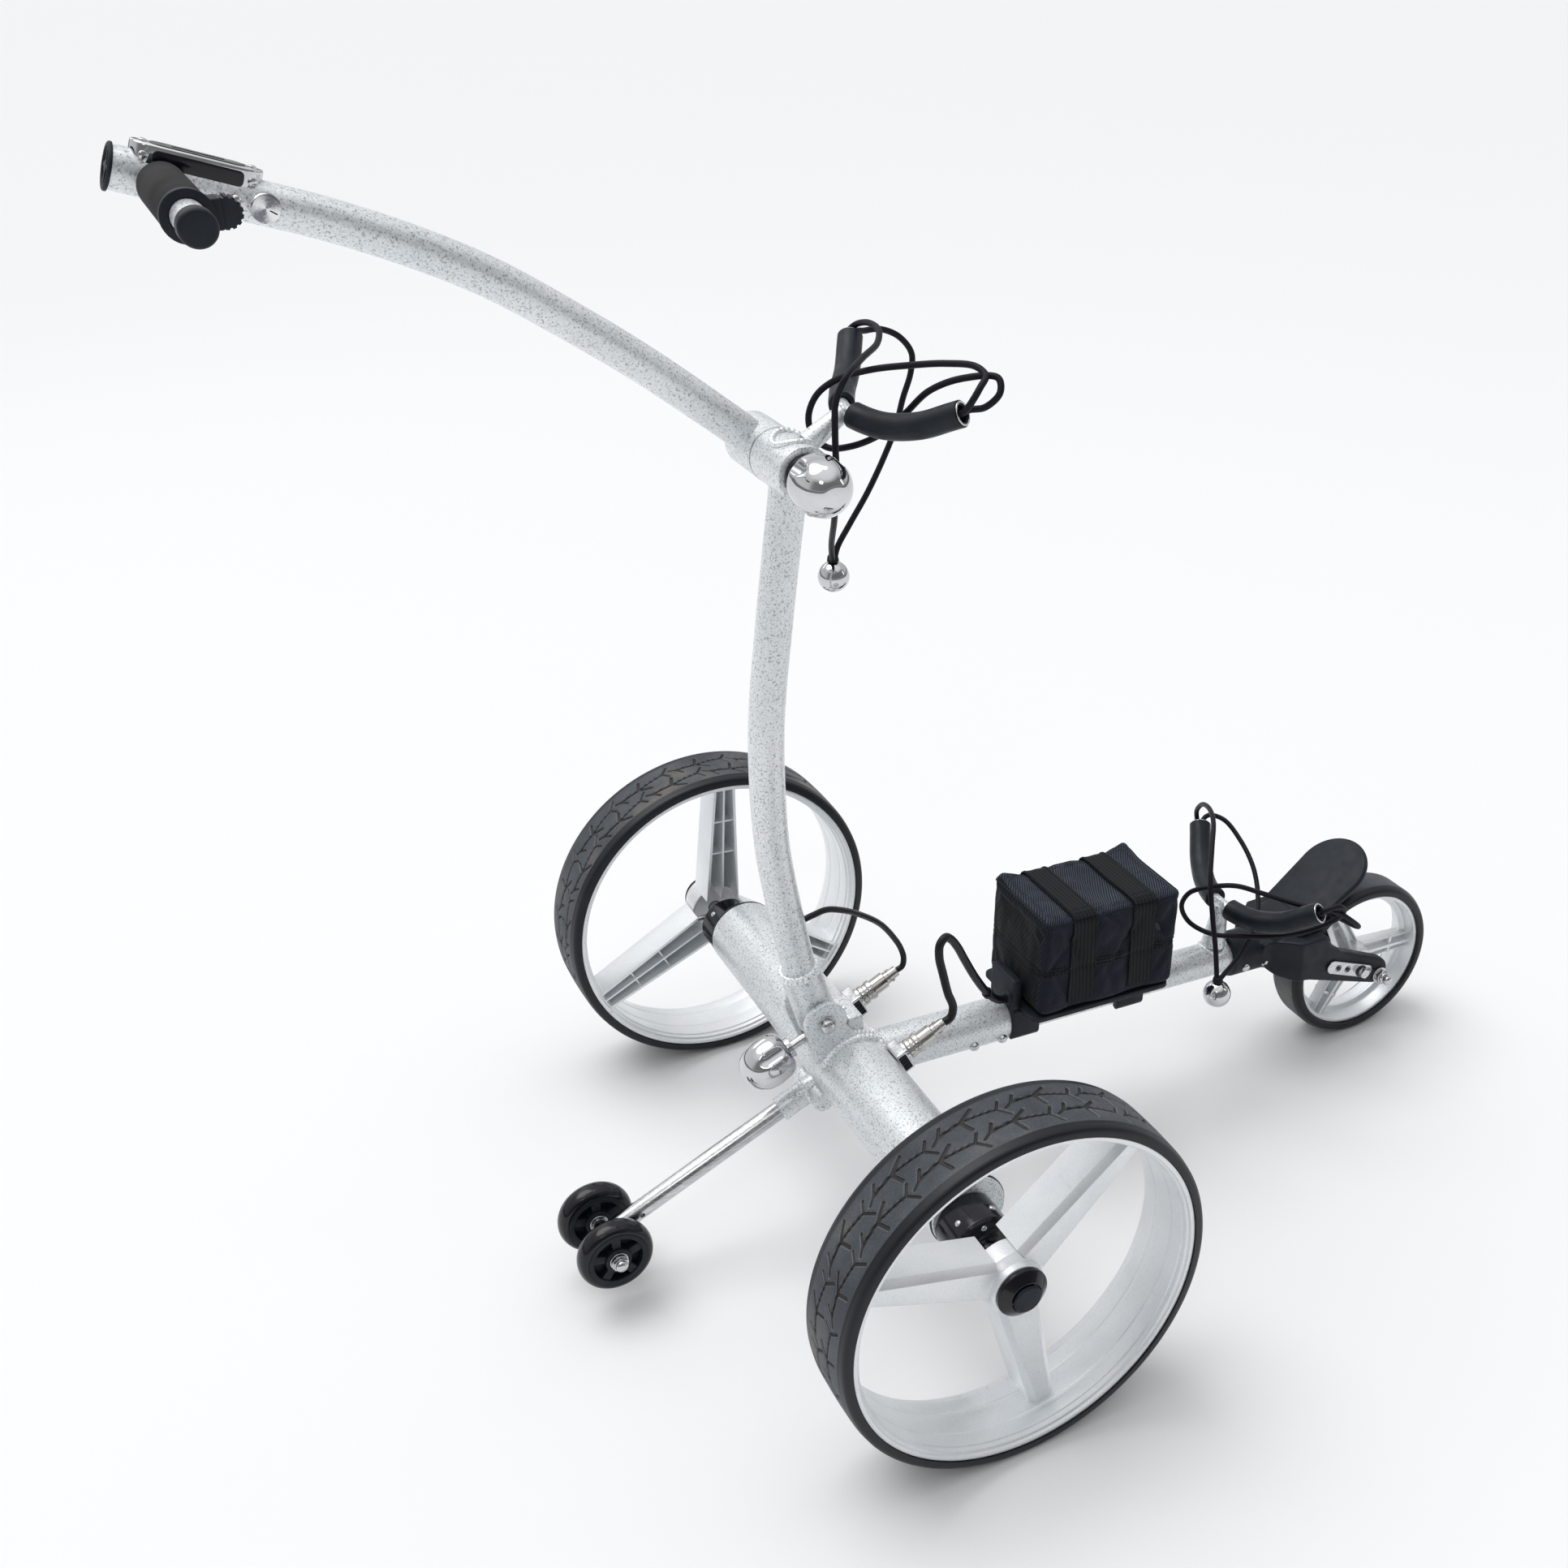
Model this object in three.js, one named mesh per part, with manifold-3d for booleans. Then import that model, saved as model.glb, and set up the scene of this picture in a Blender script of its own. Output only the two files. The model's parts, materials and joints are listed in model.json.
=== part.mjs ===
import * as THREE from 'three';
import { mergeVertices } from 'three/addons/utils/BufferGeometryUtils.js';
import Module from 'manifold-3d';

const wasm = await Module();
wasm.setup();

// Electric golf trolley. Millimetres, +X to the front wheel, +Y to the left, +Z up.
// Shapes are laid out from the drive axle (x = 0); CENTRE_X then moves the origin
// to the middle of the footprint.

// --- driving dimensions -------------------------------------------------
const CENTRE_X = -109.9;        // axle-based x of 0 becomes this in the part frame
const GAP = 0.3;                // clearance between pieces that touch
const WHEEL_R = 150;            // drive wheel, outer radius
const WHEEL_W = 63.6;           // drive wheel, tyre width
const WHEEL_Y = 287;            // drive wheel, mid-plane from the centre line
const RIM_R = 140.6;            // drive wheel, tyre seat radius
const HUB_R = 33;               // drive wheel, hub radius
const FRONT_X = 554.3;          // wheelbase
const FRONT_R = 81;             // front wheel, outer radius
const FRONT_W = 40;             // front wheel, tyre width
const FRONT_RIM_R = 70.8;       // front wheel, tyre seat radius
const TUBE_X = 4;               // main tube axis, ahead of the drive axle
const TUBE_Z = 156;             // main tube axis height
const TUBE_R = 32;              // main tube, outer radius
const TUBE_HALF = 215;          // main tube, half length
const NOSE_R = 16;              // front tube, outer radius
const NOSE_Z = 150;             // front tube axis height above the axle
const NOSE_TILT = -3.1;         // front tube slope in degrees
const NOSE_END = 426;           // front tube end
const SLEEVE_END = 166;         // front sleeve end
const PIVOT_X = -20;            // mast pivot
const PIVOT_Z = 212;
const SOCKET_R = 17;            // mast socket, outer radius
const SOCKET_LEAN = 14.6;       // mast socket lean to the rear in degrees
const MAST_R = 13.8;            // mast, outer radius
const HUB_X = -16;              // handle joint axis
const HUB_Z = 679.5;
const JOINT_R = 20.5;           // handle joint barrels, outer radius
const SPLIT_Y = 25;             // face where the two joint barrels meet
const HANDLE_Y = 48;            // handle tube, offset from the centre line
const HANDLE_R = 13.2;          // handle tube, outer radius
const GRIP_X = -386.5;          // cross grip axis
const GRIP_Z = 902.5;
const ANTI_X = -218;            // anti-tip axle
const ANTI_Z = 54;
const ANTI_R = 32;              // anti-tip wheel radius
const BAG_W = 92;               // battery bag width
const BAG_H = 95;               // battery bag height
const BAG_REAR = 170;           // battery bag, rear face along the front tube
const BAG_FRONT = 308;          // battery bag, front face along the front tube
const TRAY_TOP = 22;            // tray top above the front tube axis
const SHEET = 3;                // bag wall thickness

// --- helpers ------------------------------------------------------------
const deg = THREE.MathUtils.degToRad;
const UP = new THREE.Vector3(0, 1, 0);

function v3(x, y, z) {
  return new THREE.Vector3(x, y, z);
}

function signedVolume(position, index) {
  let total = 0;
  const a = new THREE.Vector3();
  const b = new THREE.Vector3();
  const c = new THREE.Vector3();
  for (let i = 0; i < index.length; i += 3) {
    a.fromBufferAttribute(position, index[i]);
    b.fromBufferAttribute(position, index[i + 1]);
    c.fromBufferAttribute(position, index[i + 2]);
    total += a.dot(b.cross(c));
  }
  return total;
}

function solid(geometry) {
  const bare = geometry.index ? geometry.toNonIndexed() : geometry.clone();
  bare.deleteAttribute('normal');
  bare.deleteAttribute('uv');
  const merged = mergeVertices(bare, 1e-3);
  const raw = merged.index.array;
  const index = [];
  for (let i = 0; i < raw.length; i += 3) {
    const corners = [raw[i], raw[i + 1], raw[i + 2]];
    if (new Set(corners).size === 3) {
      index.push(...corners);
    }
  }
  if (signedVolume(merged.attributes.position, index) < 0) {
    index.reverse();
  }
  const mesh = new wasm.Mesh({
    numProp: 3,
    vertProperties: Float32Array.from(merged.attributes.position.array),
    triVerts: Uint32Array.from(index),
  });
  return new wasm.Manifold(mesh);
}

function join(...shapes) {
  return shapes.reduce((whole, shape) => whole.add(shape));
}

function cut(body, ...tools) {
  return tools.reduce((whole, tool) => whole.subtract(tool), body);
}

// Round bar or cone between two points.
function bar(from, to, r0, sides = 16, r1 = r0) {
  const along = to.clone().sub(from);
  const g = new THREE.CylinderGeometry(r1, r0, along.length(), sides);
  g.applyQuaternion(new THREE.Quaternion().setFromUnitVectors(UP, along.clone().normalize()));
  const mid = from.clone().add(to).multiplyScalar(0.5);
  g.translate(mid.x, mid.y, mid.z);
  return solid(g);
}

// Bar across the trolley.
function across(x, z, y0, y1, r, sides = 16, r1 = r) {
  return bar(v3(x, y0, z), v3(x, y1, z), r, sides, r1);
}

// Turned shape: profile of [radius, distance along the axis].
function turned(profile, from, direction, sides = 24) {
  const points = profile.map(([r, t]) => new THREE.Vector2(r, t));
  const g = new THREE.LatheGeometry(points, sides);
  g.applyQuaternion(new THREE.Quaternion().setFromUnitVectors(UP, direction.clone().normalize()));
  g.translate(from.x, from.y, from.z);
  return solid(g);
}

function ring(profile, from, direction, sides) {
  return turned([...profile, profile[0]], from, direction, sides);
}

function block(cx, cy, cz, sx, sy, sz, pitch = 0) {
  const g = new THREE.BoxGeometry(sx, sy, sz);
  g.rotateY(deg(pitch));
  g.translate(cx, cy, cz);
  return solid(g);
}

// Side-view outline of [x, z] points, extruded from y0 to y1.
function plate(outline, y0, y1, bevel = 0) {
  const shape = new THREE.Shape(outline.map(([x, z]) => new THREE.Vector2(x, z)));
  const g = new THREE.ExtrudeGeometry(shape, {
    depth: y1 - y0 - 2 * bevel,
    bevelEnabled: bevel > 0,
    bevelThickness: bevel,
    bevelSize: bevel,
    bevelOffset: -bevel,
    bevelSegments: 1,
    steps: 1,
  });
  g.rotateX(Math.PI / 2);
  g.translate(0, y1 - bevel, 0);
  return solid(g);
}

function arc(cx, cz, r, from, to, steps) {
  const out = [];
  for (let i = 0; i <= steps; i += 1) {
    const a = deg(from + ((to - from) * i) / steps);
    out.push([cx + r * Math.cos(a), cz + r * Math.sin(a)]);
  }
  return out;
}

function curve(points) {
  return new THREE.CatmullRomCurve3(points.map((p) => v3(...p)), false, 'centripetal');
}

// Round tube along a curve; bore of 0 gives a solid bar.
function swept(path, r, bore, sides, steps) {
  const circle = (radius) => {
    const out = [];
    for (let i = 0; i < sides; i += 1) {
      const a = (2 * Math.PI * i) / sides;
      out.push(new THREE.Vector2(radius * Math.cos(a), radius * Math.sin(a)));
    }
    return out;
  };
  const shape = new THREE.Shape(circle(r));
  if (bore > 0) {
    shape.holes.push(new THREE.Path(circle(bore)));
  }
  const g = new THREE.ExtrudeGeometry(shape, { steps, bevelEnabled: false, extrudePath: path });
  return solid(g);
}

function part(path, from, to) {
  const points = [];
  const count = 12;
  for (let i = 0; i <= count; i += 1) {
    points.push(path.getPointAt(from + ((to - from) * i) / count));
  }
  return new THREE.CatmullRomCurve3(points, false, 'centripetal');
}

const group = new THREE.Group();
const finishes = {
  silver: { color: 0xb9bdc0, metalness: 0.6, roughness: 0.45 },
  chrome: { color: 0xe6e8ea, metalness: 1, roughness: 0.08 },
  steel: { color: 0xc9cccf, metalness: 0.9, roughness: 0.25 },
  alloy: { color: 0xc4c8cb, metalness: 0.5, roughness: 0.4 },
  black: { color: 0x1b1c1e, metalness: 0, roughness: 0.6 },
  rubber: { color: 0x151515, metalness: 0, roughness: 0.85 },
  foam: { color: 0x2b2c2e, metalness: 0, roughness: 0.95 },
  fabric: { color: 0x23262b, metalness: 0, roughness: 0.95 },
  green: { color: 0x1e5a34, metalness: 0, roughness: 0.5 },
};

function piece(name, shape, finish) {
  const out = shape.getMesh();
  const count = out.vertProperties.length / out.numProp;
  const position = new Float32Array(count * 3);
  for (let i = 0; i < count; i += 1) {
    for (let j = 0; j < 3; j += 1) {
      position[i * 3 + j] = out.vertProperties[i * out.numProp + j];
    }
  }
  const g = new THREE.BufferGeometry();
  g.setAttribute('position', new THREE.BufferAttribute(position, 3));
  g.setIndex(new THREE.BufferAttribute(Uint32Array.from(out.triVerts), 1));
  g.translate(CENTRE_X, 0, 0);
  g.computeVertexNormals();
  const mesh = new THREE.Mesh(g, new THREE.MeshStandardMaterial(finishes[finish]));
  mesh.name = name;
  group.add(mesh);
}

// A point on the front tube's own axes: along it, to the side, and above its axis.
const tilt = deg(NOSE_TILT);
function nose(along, side, above) {
  const x = along * Math.cos(tilt) - above * Math.sin(tilt);
  const z = NOSE_Z + along * Math.sin(tilt) + above * Math.cos(tilt);
  return v3(x, side, z);
}

// Box given on the front tube's own axes.
function noseBlock(a0, a1, s0, s1, h0, h1) {
  const mid = nose((a0 + a1) / 2, (s0 + s1) / 2, (h0 + h1) / 2);
  return block(mid.x, mid.y, mid.z, a1 - a0, s1 - s0, h1 - h0, -NOSE_TILT);
}

// Box with rounded upright edges, on the front tube's axes.
function noseCase(a0, a1, half, h0, h1, r) {
  const shape = new THREE.Shape();
  const corners = [[a1 - r, half - r, 0], [a0 + r, half - r, 90], [a0 + r, r - half, 180], [a1 - r, r - half, 270]];
  for (const [a, s, start] of corners) {
    for (const [px, py] of arc(a, s, r, start, start + 90, 3)) {
      if (shape.curves.length === 0 && shape.currentPoint.lengthSq() === 0) {
        shape.moveTo(px, py);
      } else {
        shape.lineTo(px, py);
      }
    }
  }
  const g = new THREE.ExtrudeGeometry(shape, { depth: h1 - h0, bevelEnabled: false });
  g.translate(0, 0, h0);
  g.rotateY(-tilt);
  g.translate(0, 0, NOSE_Z);
  return solid(g);
}

// --- axle frame: main tube, pivot ears, front sleeve, anti-tip sleeve --------
const antiSlope = Math.atan2(147 - ANTI_Z, TUBE_X - ANTI_X);
function anti(s, side, lift) {
  const x = TUBE_X - s * Math.cos(antiSlope) - lift * Math.sin(antiSlope);
  const z = 147 - s * Math.sin(antiSlope) + lift * Math.cos(antiSlope);
  return v3(x, side, z);
}
const ANTI_LENGTH = Math.hypot(147 - ANTI_Z, TUBE_X - ANTI_X);

function ear(y0, y1) {
  const top = arc(PIVOT_X, PIVOT_Z, 19, -20, 190, 7);
  return plate([...top, [-24, 162], [24, 168]], y0, y1);
}

function frameShell() {
  const tube = across(TUBE_X, TUBE_Z, -TUBE_HALF, TUBE_HALF, TUBE_R, 28);
  const sleeve = bar(nose(30, 0, 0), nose(SLEEVE_END, 0, 0), 19.6, 18);
  const collar = bar(anti(24, 0, 0), anti(66, 0, 0), 11, 14);
  const saddle = across(anti(31, 0, 0).x, anti(31, 0, -3).z, -22, 22, 9.5, 12);
  const lug = block(9.5, 0, 194, 14, 34, 22);
  const rivets = [];
  for (const along of [122, 150]) {
    const foot = nose(along, -16.6, -8);
    rivets.push(bar(foot, nose(along, -22.2, -11.2), 5, 10, 3.2));
  }
  let shell = join(tube, sleeve, collar, saddle, lug, ear(18, 24), ear(-24, -18), ...rivets);
  const bolt = across(PIVOT_X, PIVOT_Z, -30, 30, 4.3, 12);
  const clampHole = bar(stud(-12), stud(34), 4.3, 12);
  const boltSeat = bar(nose(41, 0, 0), nose(SLEEVE_END + 5, 0, 0), NOSE_R + GAP, 18);
  const rodSeat = bar(anti(36, 0, 0), anti(70, 0, 0), 8 + GAP, 12);
  const buttonSeat = bar(anti(50, 0, 4), anti(50, -9.7, 14), 2.6, 10);
  const inside = across(TUBE_X, TUBE_Z, -TUBE_HALF - 5, TUBE_HALF + 5, TUBE_R - 2.6, 24);
  shell = cut(shell, bolt, clampHole, boltSeat, rodSeat, buttonSeat, inside);
  return shell;
}

// Lower clamp knob line: from its stud tip in the lug out to the rear.
const KNOB_SLOPE = deg(21.8);
function stud(s) {
  const x = PIVOT_X + s * Math.cos(KNOB_SLOPE);
  const z = 191.6 + s * Math.sin(KNOB_SLOPE);
  return v3(x, 0, z);
}

// Egg-shaped clamp knob with four finger scallops around it.
function clampKnob(from, direction, neck) {
  const d = direction.clone().normalize();
  const profile = [[0, 0], [9, 0], [9, neck], [15, neck + 1], [20, neck + 7], [21.6, neck + 15],
    [21, neck + 25], [17, neck + 35], [9, neck + 42], [0, neck + 43.6]];
  let egg = turned(profile, from, d, 18);
  const side = new THREE.Vector3(0, 1, 0);
  if (Math.abs(d.y) > 0.9) {
    side.set(0, 0, 1);
  }
  for (let i = 0; i < 4; i += 1) {
    const out = side.clone().applyAxisAngle(d, deg(45 + 90 * i));
    const foot = from.clone().addScaledVector(d, neck - 4).addScaledVector(out, 27.5);
    const tip = from.clone().addScaledVector(d, neck + 24).addScaledVector(out, 29.5);
    egg = egg.subtract(bar(foot, tip, 10, 8));
  }
  return egg;
}

piece('axle_frame', frameShell(), 'silver');

// --- front tube and the lower bag cradle -------------------------------------
let noseTube = bar(nose(44, 0, 0), nose(NOSE_END, 0, 0), NOSE_R, 18);
noseTube = cut(noseTube, bar(nose(40, 0, 0), nose(NOSE_END + 5, 0, 0), NOSE_R - 2.2, 18));
piece('front_tube', noseTube, 'silver');

function cradle(foot, top, footR, arms, rodR) {
  const stem = bar(foot, top, footR, 12, 6.4);
  const rod = swept(curve(arms), rodR, 0, 10, 12);
  return join(stem, rod);
}

const LOWER_ARMS = [[427, -84, 211], [413, -62, 195], [400, -34, 187], [393, 0, 187],
  [400, 34, 187], [413, 62, 195], [427, 84, 211]];
const lowerFoot = nose(386, 0, 14);
let lowerCradle = cradle(lowerFoot, v3(392, 0, 187), 11.5, LOWER_ARMS, 5);
lowerCradle = cut(lowerCradle, bar(nose(340, 0, 0), nose(440, 0, 0), NOSE_R + GAP, 18));
piece('lower_bag_cradle', lowerCradle, 'silver');

// Rubber hose over one cradle arm; the arm stops short of the open end.
function hose(arms, r, side) {
  const line = curve(arms);
  const points = [];
  for (let i = 0; i <= 6; i += 1) {
    points.push(line.getPointAt(0.5 + side * (0.06 + (0.44 * i) / 6)));
  }
  const end = points[6].clone().addScaledVector(line.getTangentAt(0.5 + side * 0.5), side * 8);
  points.push(end);
  return swept(new THREE.CatmullRomCurve3(points, false, 'centripetal'), r, 6.2, 12, 8);
}
piece('lower_hose_left', hose(LOWER_ARMS, 10, 1), 'rubber');
piece('lower_hose_right', hose(LOWER_ARMS, 10, -1), 'rubber');

// --- mast pivot bolt and its clamp knob --------------------------------------
function domeBolt(x, z, half, r, headR) {
  const shank = across(x, z, -half, half, r, 12);
  const nut = (y, s) => turned([[0, 0], [headR, 0], [headR, 4], [headR * 0.75, 6.4], [0, 7.4]],
    v3(x, y, z), v3(0, s, 0), 12);
  return join(shank, nut(half - 0.01, 1), nut(0.01 - half, -1));
}
piece('pivot_bolt', domeBolt(PIVOT_X, PIVOT_Z, 24.3, 4, 8), 'steel');

const knobStart = stud(-24);
const rearward = stud(-1).sub(stud(0));
let lowerKnob = clampKnob(knobStart, rearward, 4);
lowerKnob = join(lowerKnob, bar(stud(-26), stud(31), 4, 12));
piece('mast_clamp_knob', lowerKnob, 'chrome');

// --- cable sockets and plugs on the front of the main tube ---------------------
const PLUG_DIR = v3(Math.cos(deg(25)), 0, Math.sin(deg(25)));
function fromTube(r, y) {
  return v3(TUBE_X, y, TUBE_Z).addScaledVector(PLUG_DIR, r);
}

function socket(y) {
  const mid = fromTube(36, y);
  const body = block(mid.x, y, mid.z, 11, 21, 21, -25);
  const flange = bar(fromTube(41, y), fromTube(44, y), 9.6, 16);
  const seat = across(TUBE_X, TUBE_Z, y - 20, y + 20, TUBE_R + GAP, 28);
  return cut(join(body, flange), seat);
}

function plug(y) {
  const profile = [[0, 0], [9, 0], [9, 4], [8.2, 4.5], [8.2, 7.5], [9, 8], [9, 12], [7.4, 12.5],
    [7.4, 25], [6, 25.5], [4.8, 38], [0, 38]];
  return turned(profile, fromTube(44 + GAP, y), PLUG_DIR, 12);
}

const CABLE_PLUG_Y = 45;
const BATTERY_PLUG_Y = -42;
piece('control_socket', socket(CABLE_PLUG_Y), 'black');
piece('battery_socket', socket(BATTERY_PLUG_Y), 'black');
piece('control_plug', plug(CABLE_PLUG_Y), 'chrome');
piece('battery_plug', plug(BATTERY_PLUG_Y), 'chrome');

// --- drive units inside the main tube -----------------------------------------
function gearMotor(s) {
  const can = across(TUBE_X, TUBE_Z, s * 92, s * 166, 22, 20);
  const gearbox = across(TUBE_X, TUBE_Z, s * 165.9, s * (TUBE_HALF + 0.5), 26.5, 20);
  const flange = across(TUBE_X, TUBE_Z, s * (TUBE_HALF + GAP), s * (TUBE_HALF + 4), 31, 20);
  const cover = across(0, 150, s * (TUBE_HALF + 3.9), s * 262, 28, 20);
  const bore = across(0, 150, s * 188, s * 265, 6 + GAP, 12);
  return cut(join(can, gearbox, flange, cover), bore);
}
piece('gear_motor_left', gearMotor(1), 'black');
piece('gear_motor_right', gearMotor(-1), 'black');

const boardZ = TUBE_Z - 8;
piece('controller_board', join(
  block(TUBE_X, 0, boardZ, 50, 120, 2),
  block(TUBE_X - 8, -30, boardZ + 7.9, 18, 34, 14),
  block(TUBE_X + 8, 24, boardZ + 4.9, 16, 22, 8),
), 'green');

// --- drive wheels ------------------------------------------------------------
function driveTyre(s) {
  const w = WHEEL_W / 2;
  const inner = RIM_R + GAP;
  const profile = [[inner, -w], [146, -w], [WHEEL_R, -w + 9], [WHEEL_R, w - 9], [146, w], [inner, w]];
  return ring(profile, v3(0, s * WHEEL_Y, 150), v3(0, s, 0), 40);
}

// Spoke outline, from the hub out to the rim.
function spokeOutline(angle) {
  const a = deg(angle);
  const outer = 135;
  const inner = 20;
  const points = [[inner, 16.5], [outer, 10.5], [outer, -10.5], [inner, -16.5]];
  return points.map(([r, t]) => [r * Math.cos(a) - t * Math.sin(a), 150 + r * Math.sin(a) + t * Math.cos(a)]);
}

function pocketOutline(angle, r0, r1, side) {
  const a = deg(angle);
  const half = (r) => 16.5 - ((r - 20) * 6) / 115 - 2.6;
  const points = [[r0, 1.1 * side], [r1, 1.1 * side], [r1, half(r1) * side], [r0, half(r0) * side]];
  return points.map(([r, t]) => [r * Math.cos(a) - t * Math.sin(a), 150 + r * Math.sin(a) + t * Math.cos(a)]);
}

function sided(outline, s, w0, w1, bevel = 0) {
  const ends = [s * (WHEEL_Y + w0), s * (WHEEL_Y + w1)].sort((a, b) => a - b);
  return plate(outline, ends[0], ends[1], bevel);
}

function driveRim(s, firstSpoke) {
  const w = 30.6;
  const profile = [[RIM_R, -w], [RIM_R, w], [137.2, w], [133.4, w - 5], [133.4, -w + 5], [137.2, -w]];
  let rim = ring(profile, v3(0, s * WHEEL_Y, 150), v3(0, s, 0), 40);
  const hub = turned([[0, -29], [HUB_R, -29], [HUB_R, 6], [21, 15], [0, 15]],
    v3(0, s * WHEEL_Y, 150), v3(0, s, 0), 20);
  rim = rim.add(hub);
  const angles = [firstSpoke, firstSpoke + 120, firstSpoke + 240];
  for (const angle of angles) {
    rim = rim.add(sided(spokeOutline(angle), s, -28, 2));
    rim = rim.add(sided(spokeOutline(angle), s, -9, 8, 5));
  }
  for (const angle of angles) {
    for (const [r0, r1] of [[37, 81], [83.6, 130]]) {
      rim = rim.subtract(sided(pocketOutline(angle, r0, r1, 1), s, -30, -1));
      rim = rim.subtract(sided(pocketOutline(angle, r0, r1, -1), s, -30, -1));
    }
  }
  const recess = across(0, 150, s * (WHEEL_Y - 32), s * (WHEEL_Y - 14), 29.6, 20);
  const bore = across(0, 150, s * (WHEEL_Y - 32), s * (WHEEL_Y + 20), 6 + GAP, 12);
  return cut(rim, recess, bore);
}

function driveShaft(s) {
  const shaft = across(0, 150, s * 190, s * 300.4, 6, 12);
  const pin = bar(v3(-26, s * 266.5, 150), v3(26, s * 266.5, 150), 2.6, 8);
  return join(shaft, pin);
}

function hubCap(s) {
  const y = s * (302 + GAP);
  const shell = turned([[0, 0], [17.7, 0], [17.7, 5], [16, 7.4], [12.4, 8.2], [0, 8.2]],
    v3(0, y, 150), v3(0, s, 0), 20);
  const well = across(0, 150, y + s * 5, y + s * 10, 10.8, 20);
  const hole = across(0, 150, y - s, y + s * 10, 6 + GAP, 12);
  return cut(shell, well, hole);
}

function hubButton(s) {
  const y = s * 305;
  return turned([[0, 0], [5.6, 0], [5.6, 6.4], [10.4, 6.6], [10.4, 8.2], [9.2, 9], [0, 9.2]],
    v3(0, y, 150), v3(0, s, 0), 16);
}

for (const [side, s, firstSpoke] of [['left', 1, 85], ['right', -1, 41.5]]) {
  piece(`drive_tyre_${side}`, driveTyre(s), 'rubber');
  piece(`drive_rim_${side}`, driveRim(s, firstSpoke), 'alloy');
  piece(`drive_shaft_${side}`, driveShaft(s), 'steel');
  piece(`hub_cap_${side}`, hubCap(s), 'black');
  piece(`hub_button_${side}`, hubButton(s), 'black');
}

// --- fork, front wheel and its adjustable axle ---------------------------------
const forkTop = nose(399, 0, 0);
function forkArm(y0, y1) {
  const tip = arc(FRONT_X - 3, FRONT_R + 4, 13.5, -105, 62, 8);
  return plate([[428, 142], [428, 125], [433, 114], [442, 106], [468, 102], ...tip, [508, 121], [492, 134],
    [488, 146], [450, 146]], y0, y1);
}

function forkPost(grow) {
  const outline = [[440, 150], [452, 174 + grow], [484, 182 + grow], [492 + grow, 150]];
  return plate(outline, -24 - grow, 24 + grow);
}

// The fork widens from its collar to the full width over the first few centimetres.
function forkFlare() {
  const shape = new THREE.Shape([[436, -23], [458, -44], [600, -44], [600, 44], [458, 44], [436, 23]]
    .map(([x, y]) => new THREE.Vector2(x, y)));
  const g = new THREE.ExtrudeGeometry(shape, { depth: 160, bevelEnabled: false });
  g.translate(0, 0, 40);
  return solid(g);
}

function forkBody() {
  const collar = bar(forkTop, nose(448, 0, 0), 21, 20);
  const crown = plate([[428, 142], [428, 125], [433, 114], [442, 106], [464, 102], [466, 114],
    [472, 132], [479, 146], [450, 146]], -44, 44);
  const core = plate([[438, 130], [440, 152], [492, 152], [488, 146], [478, 144], [470, 128]], -24, 24);
  const yoke = join(crown, forkArm(31, 44), forkArm(-44, -31)).intersect(forkFlare());
  let body = join(collar, core, yoke, forkPost(0));
  for (const along of [412, 434]) {
    body = body.add(bar(nose(along, -18, -5), nose(along, -22.6, -6), 5, 10, 3.4));
  }
  const seat = bar(nose(380, 0, 0), nose(NOSE_END + GAP, 0, 0), NOSE_R + GAP, 18);
  const axle = across(FRONT_X, FRONT_R, -50, 50, 5 + GAP, 12);
  const tyreRoom = across(FRONT_X, FRONT_R, -23, 23, FRONT_R + 3.5, 36);
  return cut(body, seat, axle, tyreRoom);
}
piece('fork', forkBody(), 'black');

function stadium(x0, z0, x1, z1, r) {
  const a = THREE.MathUtils.radToDeg(Math.atan2(z1 - z0, x1 - x0));
  return [...arc(x1, z1, r, a - 90, a + 90, 5), ...arc(x0, z0, r, a + 90, a + 270, 5)];
}

function axleSet() {
  const plates = [];
  for (const s of [1, -1]) {
    const ends = [s * (44 + GAP), s * 46.6].sort((a, b) => a - b);
    plates.push(plate(stadium(494.5, 109.5, 536, 91.5, 6.8), ends[0], ends[1]));
    plates.push(across(529, 94.5, s * 46.5, s * 53, 4.8, 6));
    plates.push(plate(stadium(536, 91.5, FRONT_X, FRONT_R, 3.4), ends[0], ends[1]));
  }
  return join(domeBolt(FRONT_X, FRONT_R, 46.6, 5, 7.6), ...plates);
}
piece('front_axle', axleSet(), 'steel');

const fw = FRONT_W / 2;
piece('front_tyre', ring([[FRONT_RIM_R + GAP, -fw], [76, -fw], [FRONT_R, -9], [FRONT_R, 9], [76, fw],
  [FRONT_RIM_R + GAP, fw]], v3(FRONT_X, 0, FRONT_R), v3(0, 1, 0), 32), 'rubber');

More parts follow.
